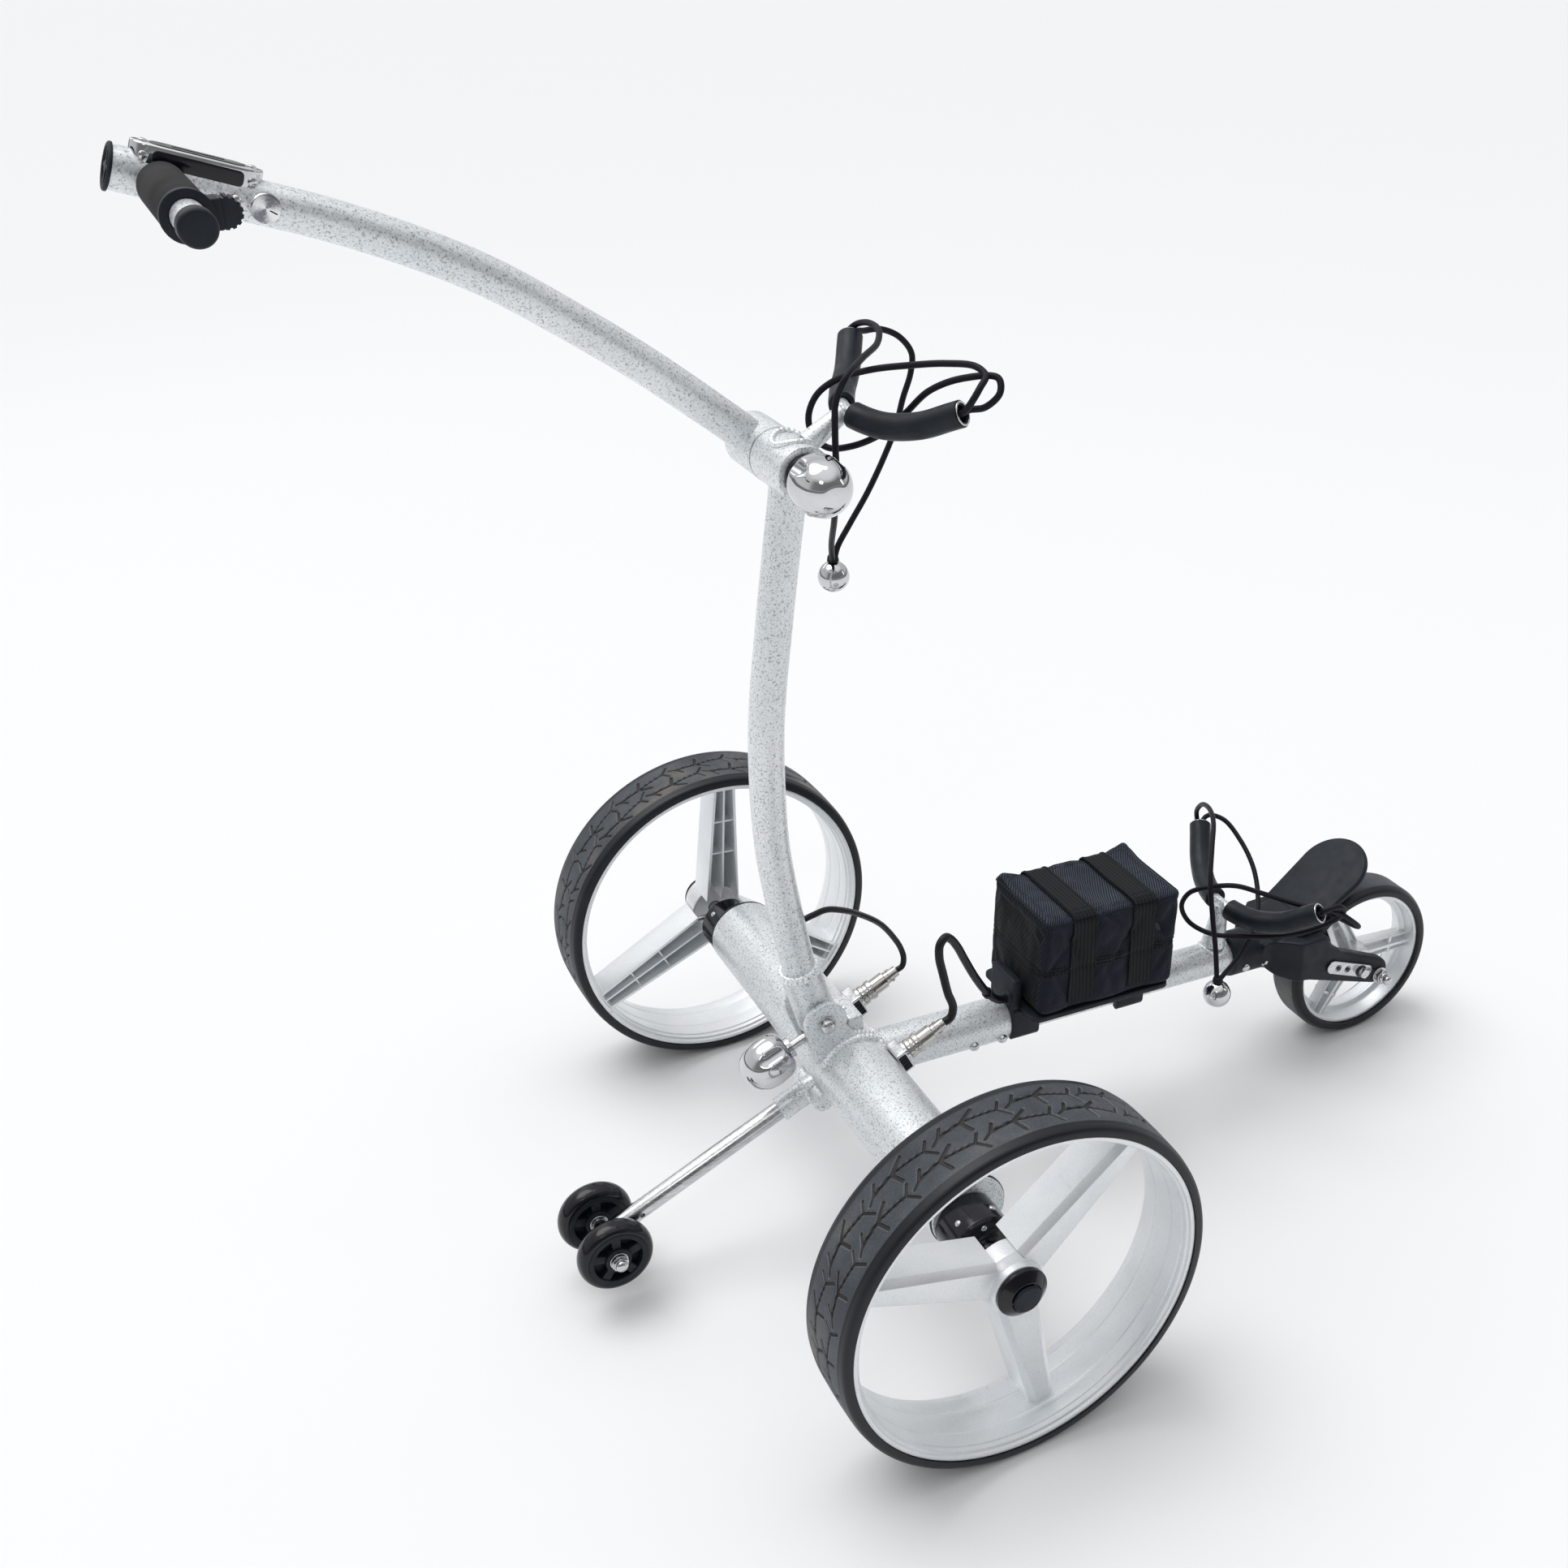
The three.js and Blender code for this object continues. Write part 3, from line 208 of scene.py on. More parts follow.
# --- shells: (vertices, faces) pairs ------------------------------------------------
def loft(rings, wrap=False, caps=False):
    """Skin over rings of equally many points."""
    rings = np.asarray(rings, float)
    m, n, _ = rings.shape
    i = np.arange(m if wrap else m - 1)[:, None]
    k = np.arange(n)[None, :]
    j, l = (i + 1) % m, (k + 1) % n
    quads = np.broadcast_arrays(i * n + k, i * n + l, j * n + l, j * n + k)
    faces = np.stack(quads, -1).reshape(-1, 4).tolist()
    if caps:
        faces += [list(range(n)), list(range((m - 1) * n, m * n))]
    return rings.reshape(-1, 3), faces


def eased(outline, r, steps=4, closed=False):
    """An outline with each corner rounded by up to r."""
    points = [np.asarray(p, float) for p in outline]
    n = len(points)
    out = []
    for i, here in enumerate(points):
        if not closed and i in (0, n - 1):
            out.append(here)
            continue
        before, after = points[i - 1] - here, points[(i + 1) % n] - here
        la, lb = np.linalg.norm(before), np.linalg.norm(after)
        reach = min(r, 0.48 * la, 0.48 * lb)
        a, b = here + before / la * reach, here + after / lb * reach
        for t in np.linspace(0, 1, steps + 1):
            out.append((1 - t) ** 2 * a + 2 * t * (1 - t) * here + t**2 * b)
    return np.array(out)


def lathe(profile, origin, axis, sides=64, hint=None):
    """Turned shell from (radius, distance along the axis). It closes on the axis or on itself."""
    profile = np.asarray(profile, float)
    axis = unit(axis)
    side, third = perpendicular(axis, hint)
    turn = np.linspace(0, 2 * math.pi, sides, endpoint=False)
    spokes = np.cos(turn)[:, None] * side + np.sin(turn)[:, None] * third
    rings = np.asarray(origin, float) + profile[:, 1, None, None] * axis + profile[:, 0, None, None] * spokes
    return loft(rings, wrap=profile[0, 0] > 1e-6)


def disc(at, axis, r, height, ease=0.3, sides=64):
    """Round plate standing on a point, with eased rims."""
    return lathe(eased([(0, 0), (r, 0), (r, height), (0, height)], ease), at, axis, sides)


def turned_ring(profile, at, axis, ease, steps=4, sides=64):
    """Ring turned from a closed profile with eased corners."""
    return lathe(eased(profile, ease, steps, closed=True), at, axis, sides)


def rod(start, end, r, ease=0.8, sides=48, r_end=None):
    """Round bar with eased ends."""
    start, end = np.asarray(start, float), np.asarray(end, float)
    length = np.linalg.norm(end - start)
    r_end = r if r_end is None else r_end
    profile = eased([(0, 0), (r, 0), (r_end, length), (0, length)], ease)
    return lathe(profile, start, end - start, sides)


def pipe(start, end, r, bore, ease=0.6, sides=64):
    """Straight tube with a wall and eased lips."""
    start, end = np.asarray(start, float), np.asarray(end, float)
    length = np.linalg.norm(end - start)
    return turned_ring([(bore, 0), (r, 0), (r, length), (bore, length)], start, end - start, ease, 4, sides)


def ringed(points, radii, sides, hint=None):
    """Rings round a line, one for each point, of the given radii."""
    _, side, third = carried(points, hint)
    turn = np.linspace(0, 2 * math.pi, sides, endpoint=False)
    spokes = np.cos(turn)[:, None] * side[:, None] + np.sin(turn)[:, None] * third[:, None]
    return np.asarray(points, float)[:, None] + np.broadcast_to(radii, len(points))[:, None, None] * spokes


def swept(points, radius, sides=24, ease=0.0):
    """Bar along a line; radius is a number or one for each point."""
    radii = np.broadcast_to(np.asarray(radius, float), len(points)).copy()
    if ease:
        radii[0] -= ease
        radii[-1] -= ease
    return loft(ringed(points, radii, sides), caps=True)


def bent_pipe(points, r, bore, sides=40, lip=0.7):
    """Tube with a wall along a line."""
    outer = ringed(points, r, sides)
    inner = ringed(points, bore, sides)
    start = ringed(points, r - lip, sides)[:1] - unit(points[1] - points[0]) * lip
    end = ringed(points, r - lip, sides)[-1:] + unit(points[-1] - points[-2]) * lip
    return loft(np.concatenate([start, outer, end, inner[::-1]]), wrap=True)


def inset(outline, d):
    """A closed outline moved in by d."""
    p = np.asarray(outline, float)
    edge = np.roll(p, -1, 0) - p
    edge /= np.maximum(np.linalg.norm(edge, axis=1), 1e-9)[:, None]
    area = np.sum(p[:, 0] * np.roll(p[:, 1], -1) - np.roll(p[:, 0], -1) * p[:, 1])
    inward = np.stack([-edge[:, 1], edge[:, 0]], 1) * np.sign(area)
    before = np.roll(inward, 1, 0)
    mitre = inward + before
    mitre /= np.maximum(np.linalg.norm(mitre, axis=1), 1e-9)[:, None]
    reach = np.maximum(np.sum(mitre * inward, 1), 0.4)
    return p + mitre * (d / reach)[:, None]


def slab(outline, place, w0, w1, ease=1.0, steps=3):
    """Closed (u, v) outline thickened from w0 to w1 with rounded edges; place(u, v, w) sets it down."""
    rings = []
    quarter = np.linspace(0, math.pi / 2, steps + 1)
    levels = [(ease * (1 - math.sin(a)), w0 + ease * (1 - math.cos(a))) for a in quarter]
    levels += [(d, w0 + w1 - w) for d, w in reversed(levels)]
    for d, w in levels:
        rings.append([place(u, v, w) for u, v in inset(outline, d)])
    return loft(rings, caps=True)


def arc(u, v, r, start, end, steps):
    """Points of a circle's arc, with angles in degrees."""
    turn = np.radians(np.linspace(start, end, steps + 1))
    return [(u + r * math.cos(a), v + r * math.sin(a)) for a in turn]


def side_view(x, z, y):
    return vec(x, y, z)


def box_outline(u0, u1, v0, v1, r=1.0):
    return eased([(u0, v0), (u1, v0), (u1, v1), (u0, v1)], r, closed=True)


def dome(origin, axis, r, height, sides=32):
    """Rounded bolt head, cap nut or rivet."""
    turn = np.radians(np.linspace(0, 90, 9))
    crown = [(r * math.cos(a), height * (0.35 + 0.65 * math.sin(a))) for a in turn]
    return lathe([(0, 0), (r, 0), *crown[:-1], (0, height)], origin, axis, sides)


def nut(origin, axis, r, height):
    """Hexagonal nut with eased corners."""
    side, third = perpendicular(axis)
    axis = unit(axis)
    corners = [(r * math.cos(a), r * math.sin(a)) for a in np.radians(np.arange(0, 360, 60))]
    origin = np.asarray(origin, float)
    outline = eased(corners, 0.4, 2, closed=True)
    return slab(outline, lambda u, v, w: origin + u * side + v * third + w * axis, 0, height, 0.4)


def weld(points, r=1.9):
    """Rippled weld bead along a line."""
    line = resampled(points, max(8, round(line_length(points) / 0.5)))
    travel = np.linspace(0, line_length(line), len(line))
    ripple = r * (0.92 + 0.24 * np.abs(np.sin(travel * math.pi / 3.8)))
    ripple[[0, -1]] *= 0.35
    return swept(line, ripple, 12)


def weld_ring(origin, axis, r, size=1.9):
    side, third = perpendicular(axis)
    turn = np.linspace(0, 2 * math.pi, 90)
    return weld([np.asarray(origin) + r * (math.cos(a) * side + math.sin(a) * third) for a in turn], size)


def saddle(origin, axis, r, across_at, across_r, grow=0.6):
    """Where a tube of radius r along axis meets a bigger tube lying across it."""
    axis = unit(axis)
    side, third = perpendicular(axis, Y)
    line = []
    for a in np.linspace(0, 2 * math.pi, 90):
        p = np.asarray(origin) + (r + grow) * (math.cos(a) * side + math.sin(a) * third)
        rel = (p - across_at) * vec(1, 0, 1)
        b, c = np.dot(rel, axis), np.dot(rel, rel) - (across_r + grow) ** 2
        line.append(p + axis * (-b + math.sqrt(max(b * b - c, 0))))
    return line


# --- objects ---------------------------------------------------------------------------
LOOKS = {}
SAME_POINT = 2e-6
SLIVER = 1e-7


def mesh_object(name, shells, merge=True, clean=True):
    """An object of closed shells, its faces turned outward."""
    verts, faces, base = [], [], 0
    for shell_verts, shell_faces in shells:
        verts.append(np.asarray(shell_verts, float))
        faces += [[base + i for i in face] for face in shell_faces]
        base += len(shell_verts)
    mesh = bpy.data.meshes.new(name)
    mesh.from_pydata(to_m(np.concatenate(verts)).tolist(), [], faces)
    bm = bmesh.new()
    bm.from_mesh(mesh)
    if merge:
        bmesh.ops.remove_doubles(bm, verts=bm.verts, dist=SAME_POINT)
    if merge and clean:
        bmesh.ops.dissolve_degenerate(bm, edges=bm.edges, dist=SLIVER)
    bmesh.ops.recalc_face_normals(bm, faces=bm.faces)
    bm.to_mesh(mesh)
    bm.free()
    obj = bpy.data.objects.new(name, mesh)
    bpy.context.scene.collection.objects.link(obj)
    return obj


def build(name, body, slot, shells, nodes=(), smooth=38, merge=True):
    """Makes one mesh of closed shells, paints it, and makes it ride on a body."""
    return dress(mesh_object(name, shells, merge), body, slot, nodes, smooth)


def dress(obj, body, slot, nodes=(), smooth=38):
    """Sets an object's material, smoothing and body."""
    obj.data.materials.clear()
    obj.data.materials.append(LOOKS[slot])
    obj.data.shade_smooth()
    obj.data.set_sharp_from_angle(angle=math.radians(smooth))
    if body:
        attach(obj, body)
    if nodes:
        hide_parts(*nodes)
    return obj


def settle(obj):
    """Applies an object's modifiers to its mesh."""
    graph = bpy.context.evaluated_depsgraph_get()
    mesh = bpy.data.meshes.new_from_object(obj.evaluated_get(graph))
    obj.modifiers.clear()
    old, obj.data = obj.data, mesh
    bpy.data.meshes.remove(old)


def carve(obj, shells):
    """Cuts closed shells out of an object."""
    tools = [mesh_object("tool", [shell], clean=False) for shell in shells]
    for tool in tools:
        cut = obj.modifiers.new("cut", "BOOLEAN")
        cut.operation = "DIFFERENCE"
        cut.solver = "EXACT"
        cut.object = tool
    settle(obj)
    for tool in tools:
        bpy.data.objects.remove(tool)


def fuse(obj, voxel, rounds):
    """Melts an object's shells into one skin with softened edges."""
    remesh = obj.modifiers.new("melt", "REMESH")
    remesh.mode = "VOXEL"
    remesh.voxel_size = voxel * MM
    if rounds:
        soften = obj.modifiers.new("soften", "SMOOTH")
        soften.factor = 0.5
        soften.iterations = rounds
    settle(obj)


def to_mm_all(obj):
    """An object's vertices, in the script's own millimetres."""
    co = np.zeros(len(obj.data.vertices) * 3, np.float32)
    obj.data.vertices.foreach_get("co", co)
    return to_mm(co.reshape(-1, 3).astype(float))


def mark(obj, label, values):
    """Stores one number for each vertex."""
    layer = obj.data.attributes.new(label, "FLOAT", "POINT")
    layer.data.foreach_set("value", np.asarray(values, np.float32).ravel())


# --- cord routes, as in the part's own source -------------------------------------------
def nose(along, side, above):
    """A point, or several, on the front tube's own axes."""
    c, s = math.cos(NOSE_TILT), math.sin(NOSE_TILT)
    return np.stack([along * c - above * s, side, NOSE_Z + along * s + above * c], -1)


NOSE_AXIS = nose(1, 0, 0) - nose(0, 0, 0)
PLUG_AXIS = vec(math.cos(math.radians(25)), 0, math.sin(math.radians(25)))
CONTROL_Y = 45
BATTERY_Y = -42
PLUG_SEAT = 44 + GAP
PLUG_TAIL = PLUG_SEAT + 38 + GAP


def from_tube(r, y):
    """A point out from the main tube's middle, along the plugs."""
    return TUBE + vec(0, y, 0) + PLUG_AXIS * r


CONTROL_ROUTE = [(-26, 0, 301.8), (-16, 0.5, 303.4), (-4, 3, 303), (12, 8, 295), (34, 20, 277),
                 (59, 33, 252), (76, 41.5, 227), (83.5, 44.6, 212), (86, 45, 201.5),
                 from_tube(PLUG_TAIL + 6, CONTROL_Y), from_tube(PLUG_TAIL, CONTROL_Y)]
BATTERY_ROUTE = [(158.6, -9, 167), (153, -9.4, 167.8), (147, -10.6, 171.5), (137, -13.5, 183),
                 (122, -20, 207), (108, -26, 234), (98, -31, 254), (90.5, -34, 265.5), (84.5, -36, 270.5),
                 (78.5, -37.6, 266.5), (76.5, -39.4, 256), (79, -41, 239), (83, -41.6, 219),
                 (87.5, -42, 203.5), from_tube(PLUG_TAIL + 7, BATTERY_Y), from_tube(PLUG_TAIL, BATTERY_Y)]
LOWER_BALL = vec(354, -52, 132)
UPPER_BALL = vec(53, 86, 551)
LOWER_STRAND_A = [(428.5, 91.6, 215.5), (430.3, 94.5, 217.6), (427.5, 92.5, 229.5), (422, 77.5, 246),
                  (409, 48, 258.5), (395.5, 24, 260), (380, 3.5, 249), (366, -15.5, 229.5),
                  (360, -29.5, 202.5), (357, -41.5, 174), (354, -49, 156), (353, -52, 146.5)]
LOWER_STRAND_B = [(433.3, 88.6, 215.5), (435.6, 92.2, 218.1), (442, 92, 221.5), (451.5, 80.5, 219.5),
                  (455.5, 57.5, 206.5), (453, 34, 192.5), (444.5, 13.5, 179.5), (430.5, -6, 168),
                  (412.5, -22.5, 161), (387, -38, 152.5), (365, -48.5, 149), (356, -52, 146.5)]
LOWER_LOOP = [(433.3, -88.6, 215.5), (435.6, -92.2, 218.1), (444, -98, 217), (458, -102, 206),
              (469, -100, 195), (470, -94, 192), (459, -87, 199), (445, -78, 207), (427, -62, 211),
              (405, -40, 217), (388, -24, 221), (371, -8, 216), (361, 8, 204), (358, 14, 187),
              (364, 9, 171), (376, -10, 165), (396, -31, 168), (418, -53, 174), (437, -76, 188),
              (451, -93, 206), (448, -102, 221), (439, -103, 227), (431, -99, 223.5),
              (430.3, -94.5, 217.6), (428.5, -91.6, 215.5)]
UPPER_STRAND_A = [(73.5, 89.8, 737.5), (75.3, 92.8, 739.4), (81, 91.5, 744.5), (84, 77, 749.5),
                  (81, 51, 750.5), (69.5, 30, 747), (44, 3, 746), (20.5, -19, 741), (14, -16, 725.5),
                  (13, -14.5, 700.5), (13, -14, 674.5), (24, 16, 629), (41, 61, 588.5), (51.5, 84, 566)]
UPPER_STRAND_B = [(78.3, 87, 737.5), (80.6, 90.8, 739.9), (92, 98, 737.5), (107, 101, 736),
                  (123, 101, 728), (133, 100, 714), (131, 98, 700), (122, 95, 681), (114, 92, 661),
                  (102, 90, 639), (86, 88, 614), (69, 87, 591), (57.5, 86, 575), (54.5, 86, 566)]
UPPER_LOOP = [(75.3, -87.3, 726.5), (77.8, -91, 728.8), (86, -97.8, 731), (95.5, -101, 740),
              (97.5, -95, 748.5), (81, -76, 746), (67, -54, 734), (58, -34, 714), (46, -19, 697),
              (31, -2, 686), (19, 13, 683), (12, 22, 691), (12, 27.5, 703), (19, 28, 717),
              (31, 21, 728), (48, 0, 738), (67, -30, 746), (80, -54, 751), (89.5, -78, 753.5),
              (90.5, -90.5, 750), (82, -98, 745), (75, -98.5, 736), (72.3, -93.2, 728.6),
              (70.5, -90.2, 726.6)]


# --- materials ---------------------------------------------------------------------------
class Paint:
    """One material, put together from shader nodes."""

    def __init__(self, slot, **values):
        self.material = bpy.data.materials.new(slot.replace(":", "_"))
        self.material.use_nodes = True
        self.tree = self.material.node_tree
        self.tree.nodes.clear()
        output = self.tree.nodes.new("ShaderNodeOutputMaterial")
        self.shader = self.tree.nodes.new("ShaderNodeBsdfPrincipled")
        self.tree.links.new(self.shader.outputs["BSDF"], output.inputs["Surface"])
        self.place = self.tree.nodes.new("ShaderNodeTexCoord").outputs["Object"]
        for socket, value in values.items():
            self.shader.inputs[socket.replace("_", " ")].default_value = value
        LOOKS[slot] = self.material

    def node(self, kind, links=None, **settings):
        node = self.tree.nodes.new("ShaderNode" + kind)
        for key, value in settings.items():
            setattr(node, key, value)
        for socket, value in (links or {}).items():
            if isinstance(value, bpy.types.NodeSocket):
                self.tree.links.new(value, node.inputs[socket])
            else:
                node.inputs[socket].default_value = value
        return node

    def stretched(self, scale, turn=(0, 0, 0)):
        """Texture space scaled and turned, in degrees."""
        links = {"Vector": self.place, "Scale": scale, "Rotation": [math.radians(a) for a in turn]}
        return self.node("Mapping", links).outputs["Vector"]

    def noise(self, scale, detail, vector=None):
        links = {"Vector": vector or self.place, "Scale": scale, "Detail": detail, "Roughness": 0.55}
        return self.node("TexNoise", links).outputs["Fac"]

    def cells(self, scale, output="Distance"):
        return self.node("TexVoronoi", {"Vector": self.place, "Scale": scale}).outputs[output]

    def waves(self, scale, vector, distortion=0.0):
        links = {"Vector": vector, "Scale": scale, "Distortion": distortion}
        return self.node("TexWave", links).outputs["Fac"]

    def math(self, operation, a, b=0.0, c=0.0):
        return self.node("Math", {0: a, 1: b, 2: c}, operation=operation).outputs[0]

    def ramp(self, value, *stops):
        """Colour for a value, from (position, grey or colour) stops."""
        node = self.node("ValToRGB", {"Fac": value})
        elements = node.color_ramp.elements
        while len(elements) < len(stops):
            elements.new(0.5)
        for element, (position, colour) in zip(elements, stops):
            element.position = position
            element.color = (*colour, 1) if isinstance(colour, tuple) else (colour, colour, colour, 1)
        return node.outputs["Color"]

    def blend(self, kind, share, a, b):
        node = self.node("Mix", data_type="RGBA", blend_type=kind)
        for socket, value in ((node.inputs[0], share), (node.inputs[6], a), (node.inputs[7], b)):
            if isinstance(value, bpy.types.NodeSocket):
                self.tree.links.new(value, socket)
            elif isinstance(value, tuple):
                socket.default_value = (*value, 1)
            else:
                socket.default_value = value
        return node.outputs[2]

    def colour(self, socket):
        self.tree.links.new(socket, self.shader.inputs["Base Color"])
        return self

    def roughness(self, socket):
        self.tree.links.new(socket, self.shader.inputs["Roughness"])
        return self

    def bump(self, height, strength=0.3, depth=0.2):
        """Relief of the given height socket; depth in millimetres."""
        links = {"Height": height, "Strength": strength, "Distance": depth * MM}
        normal = self.node("Bump", links).outputs["Normal"]
        if self.shader.inputs["Normal"].is_linked:
            first = self.shader.inputs["Normal"].links[0].from_socket
            self.tree.links.new(first, normal.node.inputs["Normal"])
        self.tree.links.new(normal, self.shader.inputs["Normal"])
        return self


def silver_paint(slot="silver_paint", flake=950, contrast=1.0, lift=1.0):
    """Silver powder coat: pale grey, slightly blue, with a coarse sparkle."""
    p = Paint(slot, Metallic=0.5, Roughness=0.38, Coat_Weight=0.12, Coat_Roughness=0.25)
    flakes = p.cells(flake, output="Color")
    grain = p.ramp(flakes, (0.15, 1 - 0.2 * contrast), (0.6, 1.0), (0.92, 1.05))
    dull, clear = (tuple(c * lift for c in t) for t in ((0.76, 0.80, 0.825), (0.88, 0.905, 0.92)))
    cloud = p.ramp(p.noise(9, 4), (0.3, dull), (0.7, clear))
    speck = p.ramp(p.noise(620, 2), (0.34, 0.5), (0.45, 1.0))
    p.colour(p.blend("MULTIPLY", 1.0, p.blend("MULTIPLY", 0.75, cloud, grain), speck))
    p.roughness(p.ramp(flakes, (0.2, 0.3), (0.9, 0.5)))
    p.bump(p.noise(800, 2), 0.35, 0.12).bump(p.cells(flake * 0.8), 0.12, 0.1)


def chrome(slot="chrome", tone=(0.62, 0.63, 0.64), rough=0.05):
    """Polished chrome with faint smears."""
    p = Paint(slot, Metallic=1.0, Roughness=rough, Base_Color=(*tone, 1))
    p.roughness(p.ramp(p.noise(55, 5), (0.42, rough * 0.7), (0.72, rough + 0.07)))
    p.colour(p.ramp(p.noise(30, 3), (0.3, tuple(c * 0.9 for c in tone)), (0.7, tuple(c * 1.1 for c in tone))))
    p.bump(p.noise(70, 2), 0.03, 0.1)


def steel():
    """Bright zinc and stainless steel with fine draw lines."""
    p = Paint("steel", Metallic=1.0, Roughness=0.2)
    lines = p.noise(60, 4, p.stretched((1.5, 14, 14)))
    p.colour(p.ramp(lines, (0.3, (0.46, 0.47, 0.48)), (0.7, (0.72, 0.725, 0.73))))
    p.roughness(p.ramp(lines, (0.3, 0.13), (0.75, 0.3)))
    p.bump(p.noise(420, 2), 0.08, 0.08)


def turned_face(slot, centre, wedges=2):
    """Radially brushed metal on a face across Y: bright and dark wedges round its centre, painted into the
    colour as highlight and shade for the brushed face's reflections.
    """
    p = Paint(slot, Metallic=1.0, Roughness=0.24)
    x, y, z = to_m([centre])[0]
    links = {"Vector": p.place, "Location": (-x, z, -y), "Rotation": (math.pi / 2, 0, 0)}
    upright = p.node("Mapping", links).outputs["Vector"]
    around = p.node("TexGradient", {"Vector": upright}, gradient_type="RADIAL")
    # Painted reflection: bright and dark wedges by angle round the centre, standing in for the glints of a
    # radially brushed face.
    painted_glint_wedges = p.math("SINE", p.math("MULTIPLY", around.outputs["Fac"], 2 * math.pi * wedges))
    fine = p.noise(900, 2)
    shade = p.math("ADD", p.math("MULTIPLY", painted_glint_wedges, 0.5), fine)
    p.colour(p.ramp(shade, (0.1, (0.20, 0.21, 0.23)), (0.9, (0.86, 0.87, 0.88))))
    p.bump(fine, 0.1, 0.05)


def alloy_rim():
    """Silver-grey moulded rim with a satin skin."""
    p = Paint("alloy_rim", Metallic=0.55, Roughness=0.3, Coat_Weight=0.2, Coat_Roughness=0.3)
    cloud = p.ramp(p.noise(14, 5), (0.28, (0.80, 0.835, 0.86)), (0.72, (0.93, 0.945, 0.955)))
    fine = p.ramp(p.noise(900, 2), (0.3, 0.9), (0.6, 1.0))
    scuffs = p.ramp(p.noise(130, 6, p.stretched((1, 0.25, 1), (0, 20, 0))), (0.66, 1.0), (0.76, 0.86))
    p.colour(p.blend("MULTIPLY", 1.0, p.blend("MULTIPLY", 0.8, cloud, fine), scuffs))
    p.roughness(p.ramp(p.noise(40, 4), (0.3, 0.3), (0.7, 0.46)))
    p.bump(p.noise(900, 2), 0.12, 0.06)


def tyre():
    """Rubber: smooth dark shoulders, a greyer crown that carries trodden-in dust and a painted sheen, dark
    groove floors, and painted highlight lines along the groove edges.
    """
    p = Paint("tyre", Roughness=0.55, Specular_IOR_Level=0.38)
    crown = p.node("Attribute", attribute_name="crown").outputs["Fac"]
    depth = p.node("Attribute", attribute_name="groove").outputs["Fac"]
    base = p.ramp(p.noise(40, 5), (0.3, (0.002, 0.003, 0.006)), (0.75, (0.006, 0.008, 0.013)))
    # The crown's grey-blue tones are partly a painted sheen standing in for the tread's gloss; the brown stop
    # is trodden-in dust.
    dust_and_sheen = p.ramp(p.noise(17, 6), (0.34, (0.030, 0.038, 0.048)), (0.54, (0.060, 0.070, 0.082)),
                   (0.74, (0.150, 0.130, 0.105)))
    worn = p.blend("MIX", crown, base, dust_and_sheen)
    fleck = p.ramp(p.noise(750, 2), (0.3, 0.7), (0.62, 1.15))
    skin = p.blend("MULTIPLY", 0.8, worn, fleck)
    # Painted highlight: a pale band along each groove's edge, where the groove's lip would catch the light.
    skin = p.blend("MIX", p.ramp(depth, (0.0, 0.0), (0.2, 0.6), (0.5, 0.0)), skin, (0.26, 0.28, 0.30))
    p.colour(p.blend("MIX", depth, skin, (0.017, 0.014, 0.011)))
    p.roughness(p.ramp(crown, (0.0, 0.42), (1.0, 0.52)))
    p.bump(p.noise(620, 3), 0.25, 0.15)


def rubber():
    """Matt black hose with a faint blue bloom and rubbed patches."""
    p = Paint("rubber", Roughness=0.45, Specular_IOR_Level=0.3)
    p.colour(p.ramp(p.noise(45, 5), (0.3, (0.003, 0.006, 0.010)), (0.72, (0.010, 0.016, 0.024))))
    p.roughness(p.ramp(p.noise(110, 4), (0.3, 0.36), (0.72, 0.56)))
    p.bump(p.noise(520, 3), 0.15, 0.08)


def cord():
    """Elastic cord with a fine woven cover."""
    p = Paint("cord", Roughness=0.5, Specular_IOR_Level=0.2)
    weave = p.waves(420, p.stretched((1, 1, 1), (35, 25, 40)))
    other = p.waves(420, p.stretched((1, 1, 1), (-35, 25, -40)))
    braid = p.math("MULTIPLY", weave, other)
    p.colour(p.ramp(braid, (0.0, (0.002, 0.002, 0.004)), (0.6, (0.012, 0.010, 0.020))))
    p.bump(braid, 0.3, 0.12)


def cable():
    """PVC cable jacket."""
    p = Paint("cable", Roughness=0.38, Specular_IOR_Level=0.3)
    p.colour(p.ramp(p.noise(60, 4), (0.3, (0.003, 0.003, 0.005)), (0.7, (0.009, 0.009, 0.012))))
    p.roughness(p.ramp(p.noise(160, 3), (0.3, 0.28), (0.7, 0.46)))
    p.bump(p.noise(600, 2), 0.1, 0.06)


def black_plastic(slot="black_plastic", rough=0.5, lift=1.0):
    """Moulded black plastic with a fine spark-eroded grain."""
    p = Paint(slot, Roughness=rough, Specular_IOR_Level=0.3)
    low, high = (tuple(c * lift for c in t) for t in ((0.003, 0.006, 0.011), (0.009, 0.015, 0.024)))
    cloud = p.ramp(p.noise(30, 5), (0.3, low), (0.72, high))
    dust = p.ramp(p.noise(330, 5), (0.66, 0.0), (0.8, 0.16))
    p.colour(p.blend("MIX", dust, cloud, (0.060, 0.066, 0.075)))
    p.roughness(p.ramp(p.noise(90, 4), (0.3, rough - 0.08), (0.7, rough + 0.1)))
    p.bump(p.cells(1300), 0.16, 0.08)


def gloss_black():
    """Gloss black with a blue cast."""
    p = Paint("gloss_black", Roughness=0.16, Specular_IOR_Level=0.4)
    p.colour(p.ramp(p.noise(40, 4), (0.3, (0.002, 0.002, 0.005)), (0.7, (0.006, 0.006, 0.011))))
    p.roughness(p.ramp(p.noise(120, 5), (0.4, 0.12), (0.75, 0.26)))
    p.bump(p.noise(300, 2), 0.03, 0.06)


